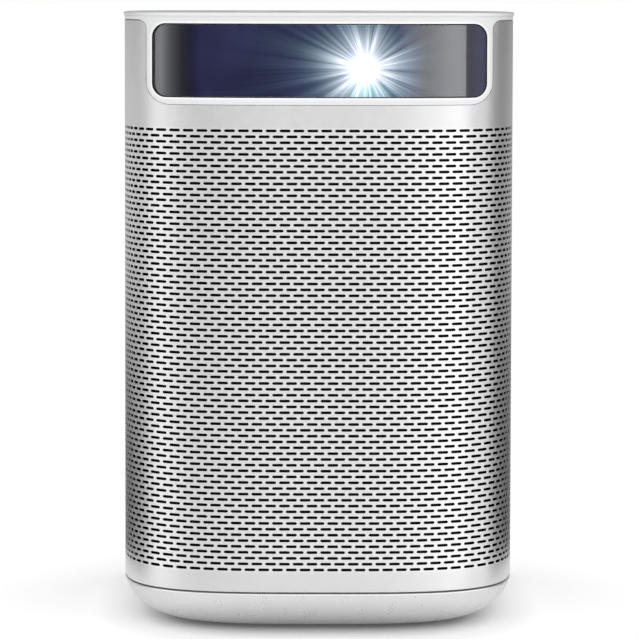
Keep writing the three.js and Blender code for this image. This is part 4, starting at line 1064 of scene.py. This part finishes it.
def build_power_key():
    low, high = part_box("power_button")
    centre = middle("power_button")
    end = high.y
    dish = 0.25 * MM
    profile = key_profile(POWER_KEY_RADIUS, end, dish, 1.5 * MM, low.y, 6.0 * MM, (48.4 * MM, 49.8 * MM))
    key = revolve("power_key", profile, 96)
    width = 0.42 * MM
    floor = end - dish - 0.18 * MM
    for cutter in power_icon("icon_cutter", floor, end + 1 * MM, width):
        boolean(key, cutter)
    facing(key, "rear")
    shift(key, centre.x, 0, centre.z)
    smooth(key)
    place(key, "power_button", "cap_plastic", "power_button")
    inlays = power_icon("power_icon", floor + 0.01 * MM, end - dish - 0.03 * MM, width * 0.97)
    for inlay in inlays:
        facing(inlay, "rear")
        shift(inlay, centre.x, 0, centre.z)
        place(inlay, "power_button", "grey_plastic")


# ---------- Lens ----------

def curve_of(radius, height, steps=8):
    """Points of a shallow dome from its edge to its middle."""
    angles = [math.pi / 2 * step / steps for step in range(steps)]
    return [(radius * math.cos(angle), height * math.sin(angle)) for angle in angles] + [(0, height)]


def build_lens():
    """Barrel, cell and front glass with fine turned steps; lengths run towards the front."""
    front, back = -BARREL_FRONT, -BARREL_BACK
    barrel = revolve("barrel", [
        (4.6 * MM, back), (9.3 * MM, back), (9.3 * MM, back + 2 * MM), (7.5 * MM, back + 2 * MM),
        (7.5 * MM, front - 0.2 * MM), (7.3 * MM, front), (6.9 * MM, front), (6.7 * MM, front - 0.2 * MM),
        (6.7 * MM, back + 1.6 * MM), (4.6 * MM, back + 1.6 * MM),
    ], 96, closed=True)
    cell_front = -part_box("lens_cell")[0].y
    cell_back = -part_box("lens_cell")[1].y
    cell = revolve("front_cell", [
        (6.5 * MM, cell_back), (6.5 * MM, cell_front - 0.2 * MM), (6.35 * MM, cell_front - 0.04 * MM),
        (6.1 * MM, cell_front), (5.7 * MM, cell_front - 0.18 * MM), (5.3 * MM, cell_front - 0.3 * MM),
        (5.0 * MM, cell_front - 0.5 * MM), (5.0 * MM, cell_front - 1 * MM), (5.9 * MM, cell_front - 1 * MM),
        (5.9 * MM, cell_back),
    ], 96, closed=True)
    glass_low, glass_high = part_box("front_lens")
    glass_front, glass_back = -glass_low.y, -glass_high.y
    edge_front = glass_front - 0.6 * MM
    edge_back = edge_front - 2.0 * MM
    dome = [(radius, edge_front + rise) for radius, rise in curve_of(4.4 * MM, glass_front - edge_front)]
    rear_curve = reversed(curve_of(5.0 * MM, edge_back - glass_back))
    belly = [(radius, edge_back - rise) for radius, rise in rear_curve]
    glass = revolve("front_glass", [*belly, (5.7 * MM, edge_back), (5.7 * MM, edge_front), *dome], 96)
    for piece, body, slot, node in (
        (barrel, "body", "black_plastic", "lens_barrel"), (cell, "lens_cell", "black_plastic", "lens_cell"),
        (glass, "lens_cell", "lens_glass", "front_lens"),
    ):
        facing(piece, "front")
        shift(piece, LENS.x, 0, LENS.z)
        place(piece, body, slot, node)


# ---------- Finishes of the CAD nodes that stay ----------

SMALL_ROUNDING = {
    "focus_camera": 0.15, "remote_receiver": 0.3, "status_light": 0.15, "focus_ring": 0.05,
    "focus_pinion": 0.04, "heat_sink": 0.08, "fan_housing": 0.3, "fan_rotor": 0.1, "optical_engine": 0.4,
    "inner_housing": 0.2, "battery_tray": 0.3, "battery_cell_1": 0.6, "battery_cell_2": 0.6,
    "battery_cell_3": 0.6, "battery_cell_4": 0.6, "main_board": 0.1, "port_board": 0.1, "power_board": 0.1,
    "key_board": 0.1, "sensor_board": 0.1, "imager_board": 0.1, "upper_frame": 0.2, "focus_motor": 0.15,
}

def finish_cad_nodes():
    """Gives every CAD node its slot's finish, and small rounded edges where they would show."""
    slots = {row["node"]: row["material_slot"] for row in frame["record"]["subparts"]}
    for name, node in frame["nodes"].items():
        node.data.materials.clear()
        node.data.materials.append(finish(slots[name]))
        if node.hide_render:
            continue
        if name in SMALL_ROUNDING:
            round_edges(node, SMALL_ROUNDING[name] * MM)


# ---------- Studio ----------

# Brightness by azimuth, in degrees from the front towards +X: round the room, and in the narrow band of
# directions that the window mirrors.
ROOM_LIGHT = [
    (-180, 0.12), (-165, 0.03), (-150, 0.02), (-134, 0.03), (-120, 0.15), (-107, 0.82), (-90, 1.26),
    (-70, 1.28), (-56, 1.1), (-42, 0.98), (-22, 1.09), (-12, 1.17), (0, 1.25), (8, 1.36), (16, 1.33),
    (24, 1.22), (40, 1.19), (65, 1.22), (84, 1.3), (100, 1.35), (112, 0.85), (122, 0.25), (135, 0.03),
    (150, 0.02), (165, 0.03), (180, 0.12),
]
WINDOW_LIGHT = [
    (-180, 0.6), (-120, 1.2), (-92, 1.15), (-76, 0.45), (-62, 0.16), (-50, 0.04), (-44, 0.02), (14, 0.02),
    (19, 0.6), (26, 0.95), (38, 1.35), (52, 1.75), (72, 1.8), (73, 0.5), (84, 0.3), (105, 0.3), (180, 0.6),
]
BAND_LOW, BAND_HIGH = -5.0, 0.6
OVERHEAD_LIGHT = 1.2
DISTANT_FLOOR_LIGHT = 0.85
REAR_SHARE = 0.3
FLOOR_RADIUS = 112 * MM
FLOOR_BOUNCE = 0.14
SHADOW_SQUEEZE = 1.3
CAMERA_PLACE = (-6.95 * MM, -1027.4 * MM, 151 * MM)
CAMERA_TURN = (90 - 4.510, -0.13, -0.4)
CAMERA_LENS = 234.63

def light_by_azimuth(nodes, turn, levels):
    """A ramp over the full turn, from -180 to 180 degrees; brightness is stored at half its value."""
    made = nodes.tree.nodes.new("ShaderNodeValToRGB")
    ramp = made.color_ramp
    while len(ramp.elements) < len(levels):
        ramp.elements.new(0.5)
    for element, (azimuth, level) in zip(ramp.elements, levels):
        element.position = (azimuth + 180) / 360
        element.color = (level / 2, level / 2, level / 2, 1)
    nodes.tree.links.new(turn, made.inputs[0])
    return nodes.math("MULTIPLY", made.outputs[0], 2.0)


def build_room():
    """Soft surroundings by direction: light panels, dark flags, and a narrow band at window height."""
    world = bpy.data.worlds.new("studio")
    bpy.context.scene.world = world
    world.use_nodes = True
    world.node_tree.nodes.clear()
    nodes = Nodes(world.node_tree)
    direction = nodes.add("TexCoord", output="Generated")
    x, y, z = [nodes.part(direction, axis) for axis in "XYZ"]
    azimuth = nodes.math("ARCTAN2", x, nodes.math("MULTIPLY", y, -1.0))
    turn = nodes.math("MULTIPLY_ADD", azimuth, 1 / (2 * math.pi), 0.5)
    rise = nodes.math("MULTIPLY", nodes.math("ARCSINE", z), 180 / math.pi)
    room = light_by_azimuth(nodes, turn, ROOM_LIGHT)
    band = light_by_azimuth(nodes, turn, WINDOW_LIGHT)
    above_low = nodes.spread(rise, 0.0, 1.0, BAND_LOW, BAND_LOW + 1.0)
    below_high = nodes.spread(rise, 1.0, 0.0, BAND_HIGH - 0.4, BAND_HIGH)
    sides = nodes.mix(nodes.math("MULTIPLY", above_low, below_high), room, band)
    far_floor = nodes.spread(y, DISTANT_FLOOR_LIGHT, REAR_SHARE * DISTANT_FLOOR_LIGHT, -0.2, 0.4)
    lower = nodes.mix(nodes.spread(rise, 1.0, 0.0, -16.0, -9.0), sides, far_floor)
    ceiling = nodes.spread(y, OVERHEAD_LIGHT, REAR_SHARE * OVERHEAD_LIGHT, -0.2, 0.4)
    level = nodes.mix(nodes.spread(rise, 0.0, 1.0, 28.0, 52.0), lower, ceiling)
    shown = nodes.mix(nodes.add("LightPath", output="Is Camera Ray"), level, 1.0)
    background = nodes.add("Background", {"Color": (1, 1, 1, 1), "Strength": shown})
    nodes.add("OutputWorld", {"Surface": background})
    world.cycles.sampling_method = "MANUAL"
    world.cycles.sample_map_resolution = 2048

def build_floor():
    """Pale paper with a painted shadow, darker in an oval near the foot, fading into the white room, and
    lighting the base.
    """
    sides = 96
    rim_points = [(x, y, 0.0) for x, y in circle(0, 0, FLOOR_RADIUS, sides)]
    floor = make_piece("floor", rim_points, [tuple(range(sides))])
    material, nodes, shader = new_material("floor_paper")
    at = nodes.stretched(nodes.place(), (SHADOW_SQUEEZE, 1, 1))
    rim = nodes.spread(nodes.length(at), 0, 1, 0.7 * FLOOR_RADIUS, 0.98 * FLOOR_RADIUS)
    grain = nodes.noise(at, 2 * MM, 2)
    reach = body_reach(nodes, at)
    # Painted shadow: the paper's colour darkens in an oval round the foot.
    painted_shadow_tone = nodes.blend(nodes.spread(reach, 0, 1, 0.84, 1.2), rgba((0.36, 0.36, 0.36)), rgba((0.8, 0.8, 0.8)))
    paper = nodes.blend(rim, painted_shadow_tone, rgba((0.0, 0.0, 0.0)))
    # Painted shadow: seen from the camera, the paper's glow also falls off near the foot.
    shown = nodes.spread(reach, 0.03, 0.42, 0.98, 1.5)
    near = nodes.mix(nodes.add("LightPath", output="Is Camera Ray"), FLOOR_BOUNCE, shown)
    link(nodes, shader, Base_Color=paper, Roughness=nodes.spread(grain, 0.85, 0.95), Specular_IOR_Level=0.1,
         Emission_Color=rgba((1, 1, 1)), Emission_Strength=nodes.mix(rim, near, 1.0))
    floor.data.materials.append(material)

def build_camera():
    """A long lens in front of the object and a little above it, looking slightly down."""
    lens = bpy.data.cameras.new("camera")
    lens.sensor_width = 36
    lens.lens = CAMERA_LENS
    lens.clip_end = 50
    camera = bpy.data.objects.new("camera", lens)
    bpy.context.scene.collection.objects.link(camera)
    camera.location = CAMERA_PLACE
    camera.rotation_euler = [math.radians(turn) for turn in CAMERA_TURN]
    bpy.context.scene.camera = camera

# ---------- Assembly ----------

build_sleeve()
build_cap()
build_keys()
build_window()
build_baffle()
build_base()
build_tripod_insert()
build_rear_panel()
build_power_key()
build_lens()
finish_cad_nodes()

build_room()
build_floor()
build_camera()
bpy.context.scene.view_settings.view_transform = "Standard"
